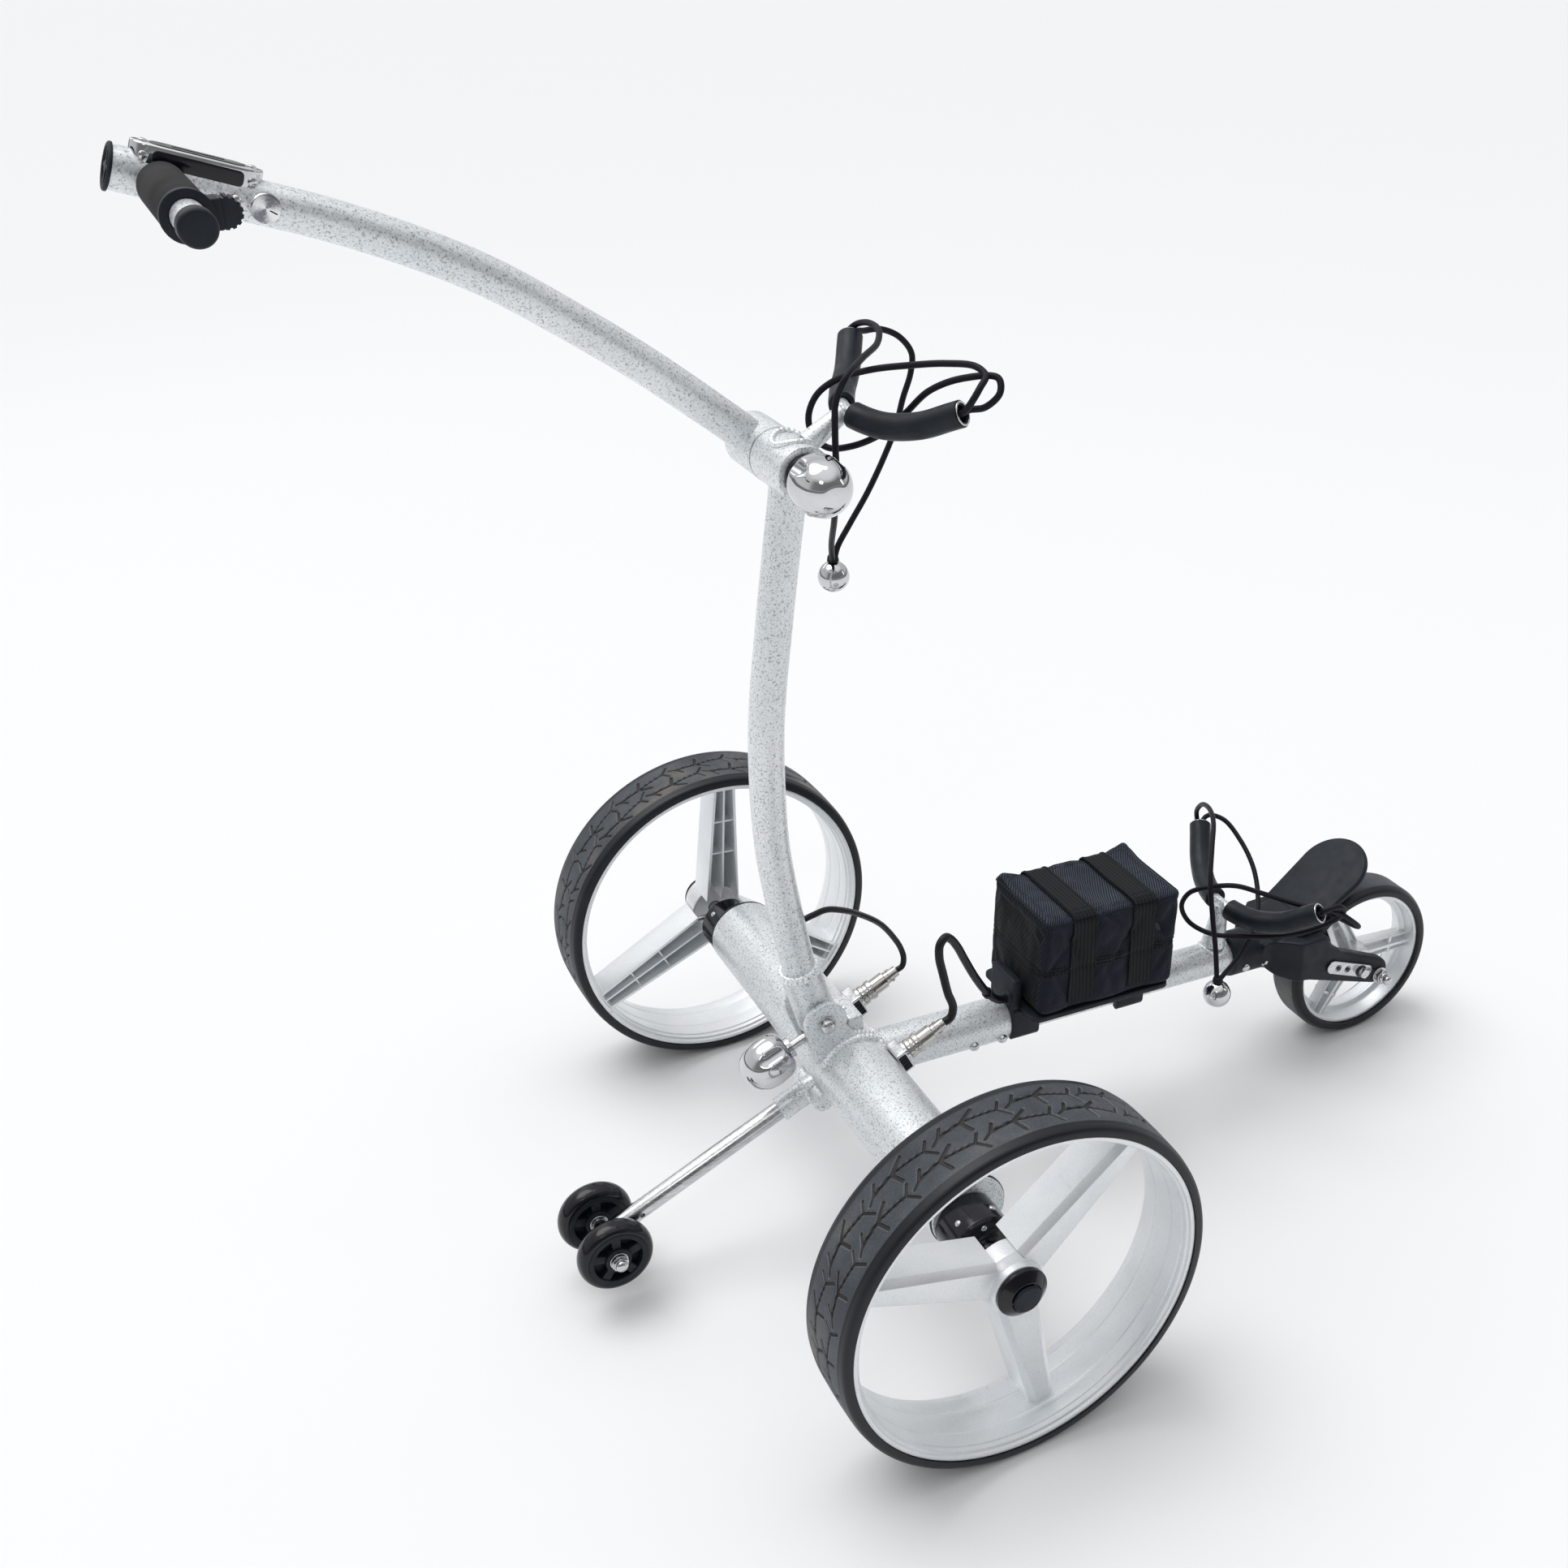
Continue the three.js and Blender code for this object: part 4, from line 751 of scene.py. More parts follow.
def foam():
    """Closed-cell foam grip."""
    p = Paint("foam", Roughness=0.85, Specular_IOR_Level=0.2)
    cloud = p.ramp(p.noise(28, 5), (0.3, (0.020, 0.020, 0.021)), (0.72, (0.046, 0.046, 0.048)))
    pores = p.ramp(p.cells(1500), (0.1, 0.55), (0.5, 1.0))
    p.colour(p.blend("MULTIPLY", 0.8, cloud, pores))
    p.bump(p.cells(1500), 0.5, 0.15).bump(p.noise(220, 4), 0.2, 0.2)


def fabric():
    """Coated twill: dark blue-black ground with paler diagonal ribs, plainer on the end flap. Faces turned up
    get a paler copy of the twill as painted light, and the sides get a darker copy as painted shade.
    """
    p = Paint("fabric", Roughness=0.72, Sheen_Weight=0.06, Sheen_Roughness=0.4, Specular_IOR_Level=0.2)
    ribs = p.waves(165, p.stretched((1, 1, 1), (28, -32, 12)), 0.5)
    picks = p.waves(520, p.stretched((1, 1, 1), (-50, 20, 75)), 0.3)
    thread = p.math("MULTIPLY", ribs, p.math("MULTIPLY_ADD", picks, 0.5, 0.5))
    # Painted light and shade: the lit attribute blends from a dark twill on the sides to a paler twill on faces
    # turned up.
    facing = p.node("Attribute", attribute_name="lit").outputs["Fac"]
    side = p.ramp(thread, (0.1, (0.001, 0.002, 0.004)), (0.7, (0.016, 0.024, 0.044)))
    top = p.ramp(thread, (0.1, (0.002, 0.004, 0.008)), (0.7, (0.056, 0.068, 0.095)))
    plain = p.node("Attribute", attribute_name="plain").outputs["Fac"]
    cloth = p.blend("MIX", facing, side, top)
    cloth = p.blend("MIX", plain, cloth, (0.004, 0.005, 0.007))
    wear = p.ramp(p.noise(38, 5), (0.3, 0.72), (0.7, 1.12))
    p.colour(p.blend("MULTIPLY", 0.8, cloth, wear))
    p.bump(thread, 0.6, 0.4).bump(p.noise(70, 5), 0.5, 1.6)


def webbing():
    """Woven nylon strap: close cross ribs."""
    p = Paint("webbing", Roughness=0.68, Specular_IOR_Level=0.2)
    ribs = p.waves(340, p.stretched((0.25, 1, 1), (45, 0, 0)), 0.8)
    p.colour(p.ramp(ribs, (0.1, (0.002, 0.003, 0.004)), (0.8, (0.010, 0.013, 0.015))))
    p.bump(ribs, 0.5, 0.3).bump(p.noise(700, 2), 0.2, 0.1)


def thread():
    """Sewing thread on the bag and straps."""
    p = Paint("webbing:thread", Roughness=0.6, Specular_IOR_Level=0.2)
    p.colour(p.ramp(p.noise(900, 2), (0.3, (0.010, 0.012, 0.016)), (0.7, (0.026, 0.029, 0.036))))
    p.bump(p.noise(1500, 2), 0.2, 0.05)


def circuit_board():
    p = Paint("circuit_board", Roughness=0.35)
    p.colour(p.ramp(p.noise(220, 3), (0.35, (0.012, 0.085, 0.035)), (0.65, (0.022, 0.13, 0.055))))
    p.bump(p.cells(500), 0.2, 0.08)


silver_paint()
silver_paint("silver_paint:weld", 700, 0.6, 1.14)
chrome()
steel()
alloy_rim()
tyre()
rubber()
cord()
cable()
black_plastic()
black_plastic("black_coat", 0.5, 1.0)
black_plastic("battery_case", 0.45, 1.6)
gloss_black()
foam()
fabric()
webbing()
thread()
circuit_board()
chrome("chrome:plug", (0.50, 0.49, 0.46), 0.16)
turned_face("steel:turned", DIAL - Y * 20)


# --- axle frame ----------------------------------------------------------------------------
def anti(s, side, lift):
    """A point on the anti-tip arm's own axes."""
    run = ANTI_TOP - ANTI
    down = -unit(vec(run[0], 0, run[2]))
    return ANTI_TOP + down * s + vec(0, side, 0) + vec(down[2], 0, -down[0]) * lift


ANTI_LENGTH = float(np.linalg.norm(ANTI_TOP - ANTI))


def ear(y0, y1):
    """Pivot plate welded on top of the main tube."""
    top = arc(PIVOT[0], PIVOT[2], 19, -20, 190, 24)
    return slab([*top, (-24, 162), (24, 168)], side_view, y0, y1, 1.3)


def ear_weld(y):
    turn = np.radians(np.linspace(152, 50, 40))
    return weld([TUBE + vec(33.2 * math.cos(a), y, 33.2 * math.sin(a)) for a in turn], 3.0)


def axle_frame():
    lug = slab(box_outline(2.5, 16.5, 183, 205, 3), side_view, -17, 17, 1.2)
    sleeve_start = nose(30, 0, 0)
    cross = vec(anti(31, 0, 0)[0], 0, anti(31, 0, -3)[2])
    shells = [
        pipe(TUBE - Y * TUBE_HALF, TUBE + Y * TUBE_HALF, TUBE_R, TUBE_R - 2.6, 0.8, 128),
        ear(18, 24), ear(-24, -18), lug,
        pipe(sleeve_start, nose(SLEEVE_END, 0, 0), SLEEVE_R, NOSE_R + GAP, 0.8),
        pipe(anti(24, 0, 0), anti(66, 0, 0), 11, 8 + GAP, 0.7),
        rod(cross - Y * 22, cross + Y * 22, 9.5, 1.6, 64),
    ]
    build("axle_frame_tubes", "frame", "silver_paint", shells, ["axle_frame"])
    beads = [ear_weld(24.6), ear_weld(-24.6), ear_weld(17.4), ear_weld(-17.4),
             weld(saddle(sleeve_start, NOSE_AXIS, SLEEVE_R, TUBE, TUBE_R), 2.5),
             weld(weld_line_anti(), 1.8)]
    build("axle_frame_welds", "frame", "silver_paint:weld", beads)
    rivets = []
    for along in (122, 150):
        foot = nose(along, -16.6, -8)
        rivets.append(dome(foot, nose(along, -22.2, -11.2) - foot, 4.6, 5.6))
    build("sleeve_rivets", "frame", "steel", rivets)


def weld_line_anti():
    """Seam where the anti-tip sleeve meets its cross saddle."""
    down = unit(anti(1, 0, 0) - anti(0, 0, 0))
    side, third = perpendicular(down, Y)
    return [anti(40, 0, 0) + 11.4 * (math.cos(a) * side + math.sin(a) * third)
            for a in np.linspace(0, 2 * math.pi, 60)]


def front_tube():
    shell = pipe(nose(44, 0, 0), nose(NOSE_END, 0, 0), NOSE_R, NOSE_R - 2.2, 0.6)
    build("front_tube_shell", "frame", "silver_paint", [shell], ["front_tube"])


# --- cradles and hoses ----------------------------------------------------------------------
LOWER_ARMS = [(427, -84, 211), (413, -62, 195), (400, -34, 187), (393, 0, 187),
              (400, 34, 187), (413, 62, 195), (427, 84, 211)]
UPPER_ARMS = [(69, -82, 723), (55, -62, 713.5), (40, -34, 708.5), (29, 0, 712),
              (42, 34, 713), (60, 62, 721), (72, 82, 733.5)]


def cradle(name, body, foot, top, foot_r, arms, node, seam=()):
    """Stem and curved arms of bent rod, welded together."""
    line = spline(arms, 2)
    shells = [rod(foot, top, foot_r, 0.5, 48, 6.4), swept(line, 5, 24, 0.6)]
    build(f"{name}_rods", body, "silver_paint", shells, [node])
    beads = [weld_ring(top - vec(1.4, 0, 0), (1, 0, 0.15), 6.2, 1.5)]
    if seam:
        beads.append(weld(seam, 1.7))
    build(f"{name}_welds", body, "silver_paint:weld", beads)


STEM_AT = 386
STEM_R = 11.5


def stem_seam():
    """Where the lower cradle's stem meets the front tube."""
    r = STEM_R + 0.4
    return [nose(STEM_AT, 0, 0) + vec(r * math.cos(a), r * math.sin(a),
                                      math.sqrt(NOSE_R**2 - (r * math.sin(a)) ** 2) + 0.6)
            for a in np.linspace(0, 2 * math.pi, 70)]


def hose_line(arms, side):
    """Middle of the hose over one end of the arms, running on a little past it."""
    line = spline(arms, 1)
    part = stretch(line, 0.56, 1.0, 40) if side > 0 else stretch(line, 0.0, 0.44, 40)[::-1]
    part = np.concatenate([part, part[-1:] + unit(part[-1] - part[-2]) * 8])
    return resampled(part, 48)


def hose(node, body, arms, r, side):
    line = hose_line(arms, side)
    build(f"{node}_tube", body, "rubber", [bent_pipe(line, r, 6.2, 48)], [node])
    end, out = line[-1], unit(line[-1] - line[-2])
    side_way, third = perpendicular(out)
    turn = np.linspace(0, 2 * math.pi, 72, endpoint=False)
    hoop = [end + out * 0.9 + (r - 1.6) * math.cos(a) * side_way + (r - 2.0) * math.sin(a) * third
            for a in turn]
    rings = ringed(np.array(hoop + hoop[:1]), 0.75, 12)[:-1]
    build(f"{node}_tube_ring", body, "steel", [loft(rings, wrap=True)])


# --- pivot bolt, knobs ----------------------------------------------------------------------
def pivot_bolt():
    x, z = PIVOT[0], PIVOT[2]
    shells = [rod((x, -24.3, z), (x, 24.3, z), 4)]
    for s in (1, -1):
        out = (0, s, 0)
        shells += [disc((x, s * 24.2, z), out, 8, 1.3, 0.4), dome((x, s * 25.4, z), out, 6.4, 6.1, 40),
                   lathe([(0, 0), (2.3, 0), (2.3, 0.4), (0, 0.4)], (x, s * 31.2, z), out, 6)]
    build("pivot_bolt_set", "frame", "steel", shells, ["pivot_bolt"])


SCALLOP_R = 10
SCALLOP_OUT = 27.5
NO_SCALLOP = 99


def clamp_knob(origin, axis, neck, sides=96):
    """Egg-shaped knob with four finger scallops, on a stem as long as neck."""
    outline = spline([(9, 0, neck), (15, 0, neck + 1), (20, 0, neck + 7), (21.6, 0, neck + 15),
                      (21, 0, neck + 25), (17, 0, neck + 35), (9, 0, neck + 42), (0, 0, neck + 43.6)], 0.9)
    radii, heights = outline[:, 0].clip(0), outline[:, 2]
    axis = unit(axis)
    side, third = perpendicular(axis, Y if abs(axis[1]) < 0.9 else (0, 0, 1))
    turn = np.linspace(0, 2 * math.pi, sides, endpoint=False)
    away = turn % (math.pi / 2) - math.pi / 4
    rings = []
    for r, h in zip(radii, heights):
        reach = SCALLOP_OUT + 2 * (h - neck + 4) / 28
        inside = np.maximum(SCALLOP_R**2 - (reach * np.sin(away)) ** 2, 0)
        wall = reach * np.cos(away) - np.sqrt(inside)
        wall = np.where(reach * np.abs(np.sin(away)) < SCALLOP_R, wall, NO_SCALLOP)
        fade = np.clip((neck + 33 - h) / 12, 0, 1) * np.clip((h - neck) / 3, 0, 1)
        radius = r - np.maximum(r - wall, 0) * fade
        spokes = np.cos(turn)[:, None] * side + np.sin(turn)[:, None] * third
        rings.append(np.asarray(origin) + axis * h + radius[:, None] * spokes)
    rings = [np.repeat(np.asarray(origin)[None] + axis * neck, sides, 0)] + rings
    return [loft(rings), disc(origin, axis, 9, neck + 1, 0.5, 48)]


KNOB_SLOPE = math.radians(21.8)
KNOB_Z = 191.6


def stud(s):
    """A point on the mast clamp's rod."""
    return vec(PIVOT[0] + s * math.cos(KNOB_SLOPE), 0, KNOB_Z + s * math.sin(KNOB_SLOPE))


def mast_knob():
    rearward = stud(-1) - stud(0)
    build("mast_clamp_knob_egg", "mast_knob", "chrome", clamp_knob(stud(-24), rearward, 4),
          ["mast_clamp_knob"])
    build("mast_clamp_rod", "mast_knob", "steel", [rod(stud(-26), stud(31), 4)])


def handle_knob():
    x, z = HUB[0], HUB[2]
    washer = disc((x, -SPLIT_Y - GAP, z), (0, -1, 0), 16, 4.6, 0.8)
    shells = clamp_knob(vec(x, -29.5, z), vec(0, -1, 0), 2) + [rod((x, -34, z), (x, 64, z), 6)]
    build("handle_clamp_knob_egg", "handle_knob", "chrome", shells, ["handle_clamp_knob"])
    build("handle_clamp_washer", "handle_knob", "gloss_black", [washer])


# --- cable sockets and plugs ----------------------------------------------------------------
def socket(node, y):
    """Square panel socket with louvred ends and a round collar for its plug."""
    name = f"{node}_base"
    side, third = perpendicular(PLUG_AXIS, Y)
    middle = from_tube(36, y)

    def place(u, v, w):
        return middle + u * side + v * third + w * PLUG_AXIS

    block = slab(box_outline(-10.5, 10.5, -10.5, 10.5, 1.6), place, -4.2, 5.4, 0.7)
    build(f"{name}_block", "frame", "steel", [block])
    window = box_outline(-8.2, 8.2, -3.2, 4.2, 0.6)
    shells = [slab(window, lambda v, w, u, m=m: place(m * (10.2 + u), v, w), 0, 0.5, 0.2) for m in (-1, 1)]
    for u in (-10.7, 10.7):
        for v in np.linspace(-6.6, 6.6, 5):
            shells.append(rod(place(u, v, -3.0), place(u, v, 4.0), 0.8, 0.3, 10))
    build(name, "frame", "black_plastic", shells, [node])
    collar = turned_ring([(5, 0), (9.6, 0), (9.6, 3), (5, 3)], from_tube(41, y), PLUG_AXIS, 0.4)
    build(f"{name}_flange", "frame", "chrome", [collar])


def plug(node, y):
    """Screw plug with a knurled ring and a strain relief."""
    profile = [(0, 0), (9, 0), (9, 4), (8.2, 4.4), (8.2, 7.6), (9, 8), (9, 12), (7.4, 12.4),
               (7.4, 25), (6, 25.4), (5.6, 29), (5.2, 29.3), (5.0, 33), (4.8, 38), (0, 38)]
    start = from_tube(PLUG_SEAT, y)
    shells = [lathe(eased(profile, 0.35, 2), start, PLUG_AXIS, 64)]
    side, third = perpendicular(PLUG_AXIS, Y)
    for a in (0.6, 0.6 + math.pi):
        out = math.cos(a) * side + math.sin(a) * third
        shells.append(dome(start + PLUG_AXIS * 31 + out * 4.4, out, 1.7, 2.2, 16))
    return build(f"{node}_body", "frame", "chrome:plug", shells, [node])


# --- drive units -----------------------------------------------------------------------------
CAN_R = 25
CAN_LENGTH = 33


def gear_motor(side, s):
    """Motor and gearbox in the end of the main tube, with its can, end disc and seal outside."""
    axle, out = vec(0, 0, WHEEL_R), (0, s, 0)

    def inside(y):
        return TUBE + Y * s * y

    can = [(6.3, 0), (CAN_R, 0), (CAN_R, CAN_LENGTH - 3), (CAN_R - 2.5, CAN_LENGTH), (12, CAN_LENGTH),
           (12, CAN_LENGTH + 2), (6.3, CAN_LENGTH + 2)]
    case = [rod(inside(92), inside(165), 22), rod(inside(165), inside(213.5), 26.5),
            turned_ring(can, axle + Y * s * (TUBE_HALF + 3.9), out, 1.0, 4, 96)]
    build(f"gear_motor_{side}_case", "frame", "gloss_black", case, [f"gear_motor_{side}"])
    build(f"gear_motor_{side}_flange", "frame", "silver_paint",
          [disc(inside(TUBE_HALF + 0.4), out, 31, 3.5, 0.8, 96)])
    build(f"gear_motor_{side}_seal", "frame", "rubber",
          [pipe(inside(TUBE_HALF + 0.3), inside(TUBE_HALF + 2.6), 31.8, 30.4, 0.5, 96)])
    screws = []
    for a in np.radians((20, 95, 170, 245, 320)):
        foot = axle + vec(18.5 * math.cos(a), s * (TUBE_HALF + CAN_LENGTH + 3.6), 18.5 * math.sin(a))
        screws.append(dome(foot, out, 2.4, 1.7, 20))
    for a in np.radians((60, 130)):
        away = vec(math.cos(a), 0, math.sin(a))
        foot = axle + Y * s * (TUBE_HALF + 24) + away * (CAN_R - 0.3)
        screws.append(dome(foot, away, 2.6, 2.0, 20))
    build(f"gear_motor_{side}_screws", "frame", "steel", screws)


# --- drive wheels -----------------------------------------------------------------------------
TREAD_REPEATS = 16
TREAD_STROKES = [(0, 9.5, 7, 0.5, 2.4), (7, 0.5, 34, -3, 2.3), (34, -3, 53, -1.5, 2.9),
                 (34, -3, 22, -10.5, 2.9), (34, -3, 30, 8, 3.0), (53, -1.5, 58.9, 2, 2.4),
                 (53, -1.5, 48, -9, 2.5), (7, 0.5, 2, -7, 2.3)]
TREAD_ROWS = [(-9.5, 0.0), (10.0, 0.47)]
CROWN_HALF = 22.8
TYRE_STEPS = 1344
GROOVE_DEPTH = 1.8


def groove_share(s, w, pitch):
    """How deep in a tread groove each point is, from 0 to 1."""
    share = np.zeros(np.broadcast(s, w).shape)
    for row, shift in TREAD_ROWS:
        u = (s - shift * pitch) % pitch
        v = w - row
        for s0, w0, s1, w1, width in TREAD_STROKES:
            run = vec(s1 - s0, w1 - w0)
            for lap in (-pitch, 0, pitch):
                du, dv = u + lap - s0, v - w0
                t = np.clip((du * run[0] + dv * run[1]) / (run @ run), 0, 1)
                gap = np.hypot(du - t * run[0], dv - t * run[1])
                share = np.maximum(share, np.clip((width / 2 + 0.35 - gap) / 0.6, 0, 1))
    return share


def drive_tyre(side, s, centre):
    """Tyre with a treaded crown between two smooth shoulders."""
    half, seat = TYRE_W / 2, RIM_R + GAP
    wall = WHEEL_R - seat
    drop = wall * 0.09
    shoulder = [(seat, half), (seat + wall * 0.45, half), (WHEEL_R - drop * 3.2, half - 1.0),
                (WHEEL_R - drop * 2.0, half - 2.6), (WHEEL_R - drop * 1.35, half - 5.2),
                (WHEEL_R - drop * 1.1, CROWN_HALF + 1.6), (WHEEL_R - drop * 0.7, CROWN_HALF + 0.9)]
    crown = [(WHEEL_R, w) for w in np.linspace(-CROWN_HALF, CROWN_HALF, 64)]
    profile = np.array([(r, -w) for r, w in shoulder] + crown + shoulder[::-1])
    turn = np.linspace(0, 2 * math.pi, TYRE_STEPS, endpoint=False)[:, None]
    w = profile[None, :, 1]
    on_crown = (np.abs(w) <= CROWN_HALF + 0.01) & (profile[None, :, 0] > WHEEL_R - 0.01)
    share = groove_share(turn * WHEEL_R, w, 2 * math.pi * WHEEL_R / TREAD_REPEATS) * on_crown
    swell = 0.5 * (1 - (w / CROWN_HALF) ** 2).clip(0, 1) - 0.5 * on_crown
    r = profile[None, :, 0] + swell - GROOVE_DEPTH * share
    x = centre[0] + r * np.cos(turn)
    z = centre[2] + r * np.sin(turn)
    y = np.broadcast_to(centre[1] + s * w, x.shape)
    skin = loft(np.stack([x, y, z], 2), wrap=True)
    obj = build(f"drive_tyre_{side}_tread", f"wheel_{side}", "tyre", [skin], [f"drive_tyre_{side}"], 50,
                merge=False)
    # crown places the tyre paint's dust and painted sheen; groove gives the groove depth, which also places the
    # painted highlights along the groove edges.
    mark(obj, "crown", np.broadcast_to(on_crown, share.shape) * 1.0)
    mark(obj, "groove", share * 0.9)


SPOKE_FROM = 20
SPOKE_TO = 135


def spoke_half(r):
    """Half a spoke's width at a distance from the axle."""
    return 16.5 - (r - SPOKE_FROM) * 6 / (SPOKE_TO - SPOKE_FROM)


def spoke(s, angle):
    """Hollow-backed spoke: chamfered face, side walls and a middle rib."""
    a = math.radians(angle)
    out = vec(math.cos(a), 0, math.sin(a))
    across = vec(-math.sin(a), 0, math.cos(a))
    hub = vec(0, s * WHEEL_Y, WHEEL_R)
    rings = []
    floor, wall, rib = -1.0, 2.6, 1.0
    for r in np.linspace(SPOKE_FROM, SPOKE_TO, 24):
        h = spoke_half(r)
        section = [(-h, -28), (-h, 2.6), (-h + 5, 8), (h - 5, 8), (h, 2.6), (h, -28), (h - wall, -28),
                   (h - wall, floor), (rib, floor), (rib, -27), (-rib, -27), (-rib, floor),
                   (-h + wall, floor), (-h + wall, -28)]
        section = eased(section, 0.45, 2, closed=True)
        rings.append([hub + out * r + across * v + vec(0, s * w, 0) for v, w in section])
    shells = [loft(rings, caps=True)]
    for r in (68, 101):
        h = spoke_half(r) - 1.5
        shells.append(slab(box_outline(-h, h, -24, -0.6, 0.5),
                           lambda u, w, t, r=r: hub + out * (r + t) + across * u + vec(0, s * w, 0),
                           -0.8, 0.8, 0.3))
    return shells


def drive_rim(side, s, hub, first_spoke):
    """Grooved barrel, hub neck and three spokes."""
    w = 30.6
    barrel = [(RIM_R, -w), (RIM_R, w), (137.2, w), (136.8, w - 2.2), (134.9, w - 3.2), (134.6, w - 6.6),
              (133.4, w - 7.6), (133.4, 14), (133.9, 13.4), (133.9, 10.8), (133.4, 10.2), (133.4, -8),
              (133.8, -8.5), (133.8, -10.5), (133.4, -11), (133.4, -w + 7.6), (134.6, -w + 6.6),
              (134.9, -w + 3.2), (136.8, -w + 2.2), (137.2, -w)]
    neck = [(22, -13), (25, -13), (25, 3), (22.5, 7), (21, 9), (21, 15), (17.8, 15), (17.8, 14.4),
            (6.3, 14.4), (6.3, -8), (22, -8)]
    shells = [turned_ring(barrel, hub, (0, s, 0), 0.5, 3, 180), turned_ring(neck, hub, (0, s, 0), 1.0, 4, 96)]
    for turn in (0, 120, 240):
        shells += spoke(s, first_spoke + turn)
    build(f"drive_rim_{side}_moulding", f"wheel_{side}", "alloy_rim", shells, [f"drive_rim_{side}"], 26)


def drive_wheel(side, s, first_spoke):
    body, out, axle = f"wheel_{side}", (0, s, 0), vec(0, 0, WHEEL_R)
    centre = axle + Y * s * WHEEL_Y
    drive_tyre(side, s, centre)
    drive_rim(side, s, centre, first_spoke)
    pin = axle + Y * s * 266.5
    shaft = [rod(axle + Y * s * 190, axle + Y * s * 300.4, 6),
             rod(pin - (26, 0, 0), pin + (26, 0, 0), 2.6, 0.5, 24)]
    build(f"drive_shaft_{side}_bar", body, "steel", shaft, [f"drive_shaft_{side}"])
    cap = [(6.3, 0), (20.4, 0), (20.4, 3.5), (13, 9), (11.9, 9), (11.9, 5), (6.3, 5)]
    build(f"hub_cap_{side}_ring", body, "gloss_black",
          [turned_ring(cap, axle + Y * s * (302 + GAP), out, 0.8, 5, 96)], [f"hub_cap_{side}"])
    button = eased([(0, 0), (5.6, 0), (5.6, 6.4), (11.3, 6.6), (11.3, 8.2), (10.1, 9), (0, 9.2)], 0.5)
    build(f"hub_button_{side}_face", f"release_{side}", "black_plastic",
          [lathe(button, axle + Y * s * 305, out, 96)], [f"hub_button_{side}"])


# --- fork and front wheel -----------------------------------------------------------------
def fork():
    """Moulded fork: melted into one skin, then cut clear of the wheel and bored for the tube and axle."""
    tip = arc(FRONT[0] - 3, FRONT[2] + 4, 13.5, -105, 62, 24)
    arm = eased([(428, 142), (428, 125), (433, 114), (442, 106), (468, 102)], 6, 5)
    arm = [*arm, *tip, *eased([(508, 121), (492, 134), (488, 146), (450, 146)], 6, 6)]
    crown = eased([(428, 142), (428, 125), (433, 114), (442, 106), (464, 102), (466, 114), (472, 132),
                   (479, 146), (450, 146)], 5, 5, closed=True)
    core = [(438, 130), (440, 152), (492, 152), (488, 146), (478, 144), (470, 128)]
    post = eased([(440, 146), (450, 154), (474, 158), (492, 148)], 3, 4, closed=True)
    shells = [rod(nose(399, 0, 0), nose(448, 0, 0), 21, 2), slab(crown, side_view, -44, 44, 2),
              slab(core, side_view, -24, 24, 1), slab(post, side_view, -24, 24, 2),
              slab(arm, side_view, 31, 44, 2), slab(arm, side_view, -44, -31, 2)]
    body = mesh_object("fork_casting", shells)
    fuse(body, 1.6, 0)
    room = rod(FRONT - Y * 23, FRONT + Y * 23, FRONT_R + 3.5, 0.2, 96)
    corners = [slab([(420, s * 23), (436, s * 23), (458, s * 44.2), (458, s * 60), (420, s * 60)],
                    vec, 60, 190) for s in (1, -1)]
    carve(body, [room])
    for corner in corners:
        carve(body, [corner])
    fuse(body, 1.25, 4)
    carve(body, [rod(nose(380, 0, 0), nose(NOSE_END + GAP, 0, 0), NOSE_R + GAP, 0.1, 64),
                 rod(FRONT - Y * 60, FRONT + Y * 60, 5.3, 0.1, 32)])
    dress(body, "frame", "black_plastic", ["fork"], 44)
    rivets = []
    for along in (412, 434):
        for s in (1, -1):
            foot, head = nose(along, s * 19.4, -5.4), nose(along, s * 22.9, -6.2)
            rivets.append(dome(foot, head - foot, 4.2, 3.8, 32))
    build("fork_rivets", "frame", "chrome", rivets)


def stadium(x0, z0, x1, z1, r):
    """Outline of a bar with round ends."""
    a = math.degrees(math.atan2(z1 - z0, x1 - x0))
    return [*arc(x1, z1, r, a - 90, a + 90, 16), *arc(x0, z0, r, a + 90, a + 270, 16)]


def front_axle():
    """Axle, cap nuts, slotted adjuster plates and their bolts."""
    shells, dark, links = [rod(FRONT - Y * 46.6, FRONT + Y * 46.6, 5)], [], []
    for s in (1, -1):
        def outward(x, z, y, s=s):
            return vec(x, s * y, z)

        shells.append(slab(stadium(494.5, 109.5, 536, 91.5, 6.8), outward, 44.3, 46.6, 0.6))
        links.append(slab(stadium(536, 91.5, FRONT[0], FRONT[2], 3.4), outward, 44.3, 45.8, 0.3))
        end = FRONT + Y * s * 44.6
        way = Y * s
        shells += [disc(end, way, 8, 1.4, 0.3, 48), nut(end + way * 1.4, way, 7.0, 5.2),
                   dome(end + way * 6.4, way, 5.8, 4.4, 40), rod(end + way * 6, end + way * 13, 2.6),
                   dome(end + way * 11.4, way, 4.6, 4.2, 40)]
        bolt = vec(529, s * 46.5, 94.5)
        dark.append(disc(bolt, way, 6.2, 0.7, 0.2, 40))
        shells.append(nut(bolt + way * 0.4, way, 5.0, 6.6))
        for x, z in ((500.5, 107), (512, 102)):
            dark.append(dome(vec(x, s * 46.4, z), way, 2.4, 1.2, 24))
            rim = [(3.0, 0), (3.6, 0), (3.6, 0.3), (3.0, 0.3)]
            dark.append(turned_ring(rim, vec(x, s * 46.5, z), way, 0.1, 4, 24))
    build("front_axle_set", "frame", "steel", shells, ["front_axle"])
    build("front_axle_screws", "frame", "gloss_black", dark)
    build("front_axle_links", "frame", "black_plastic", links)


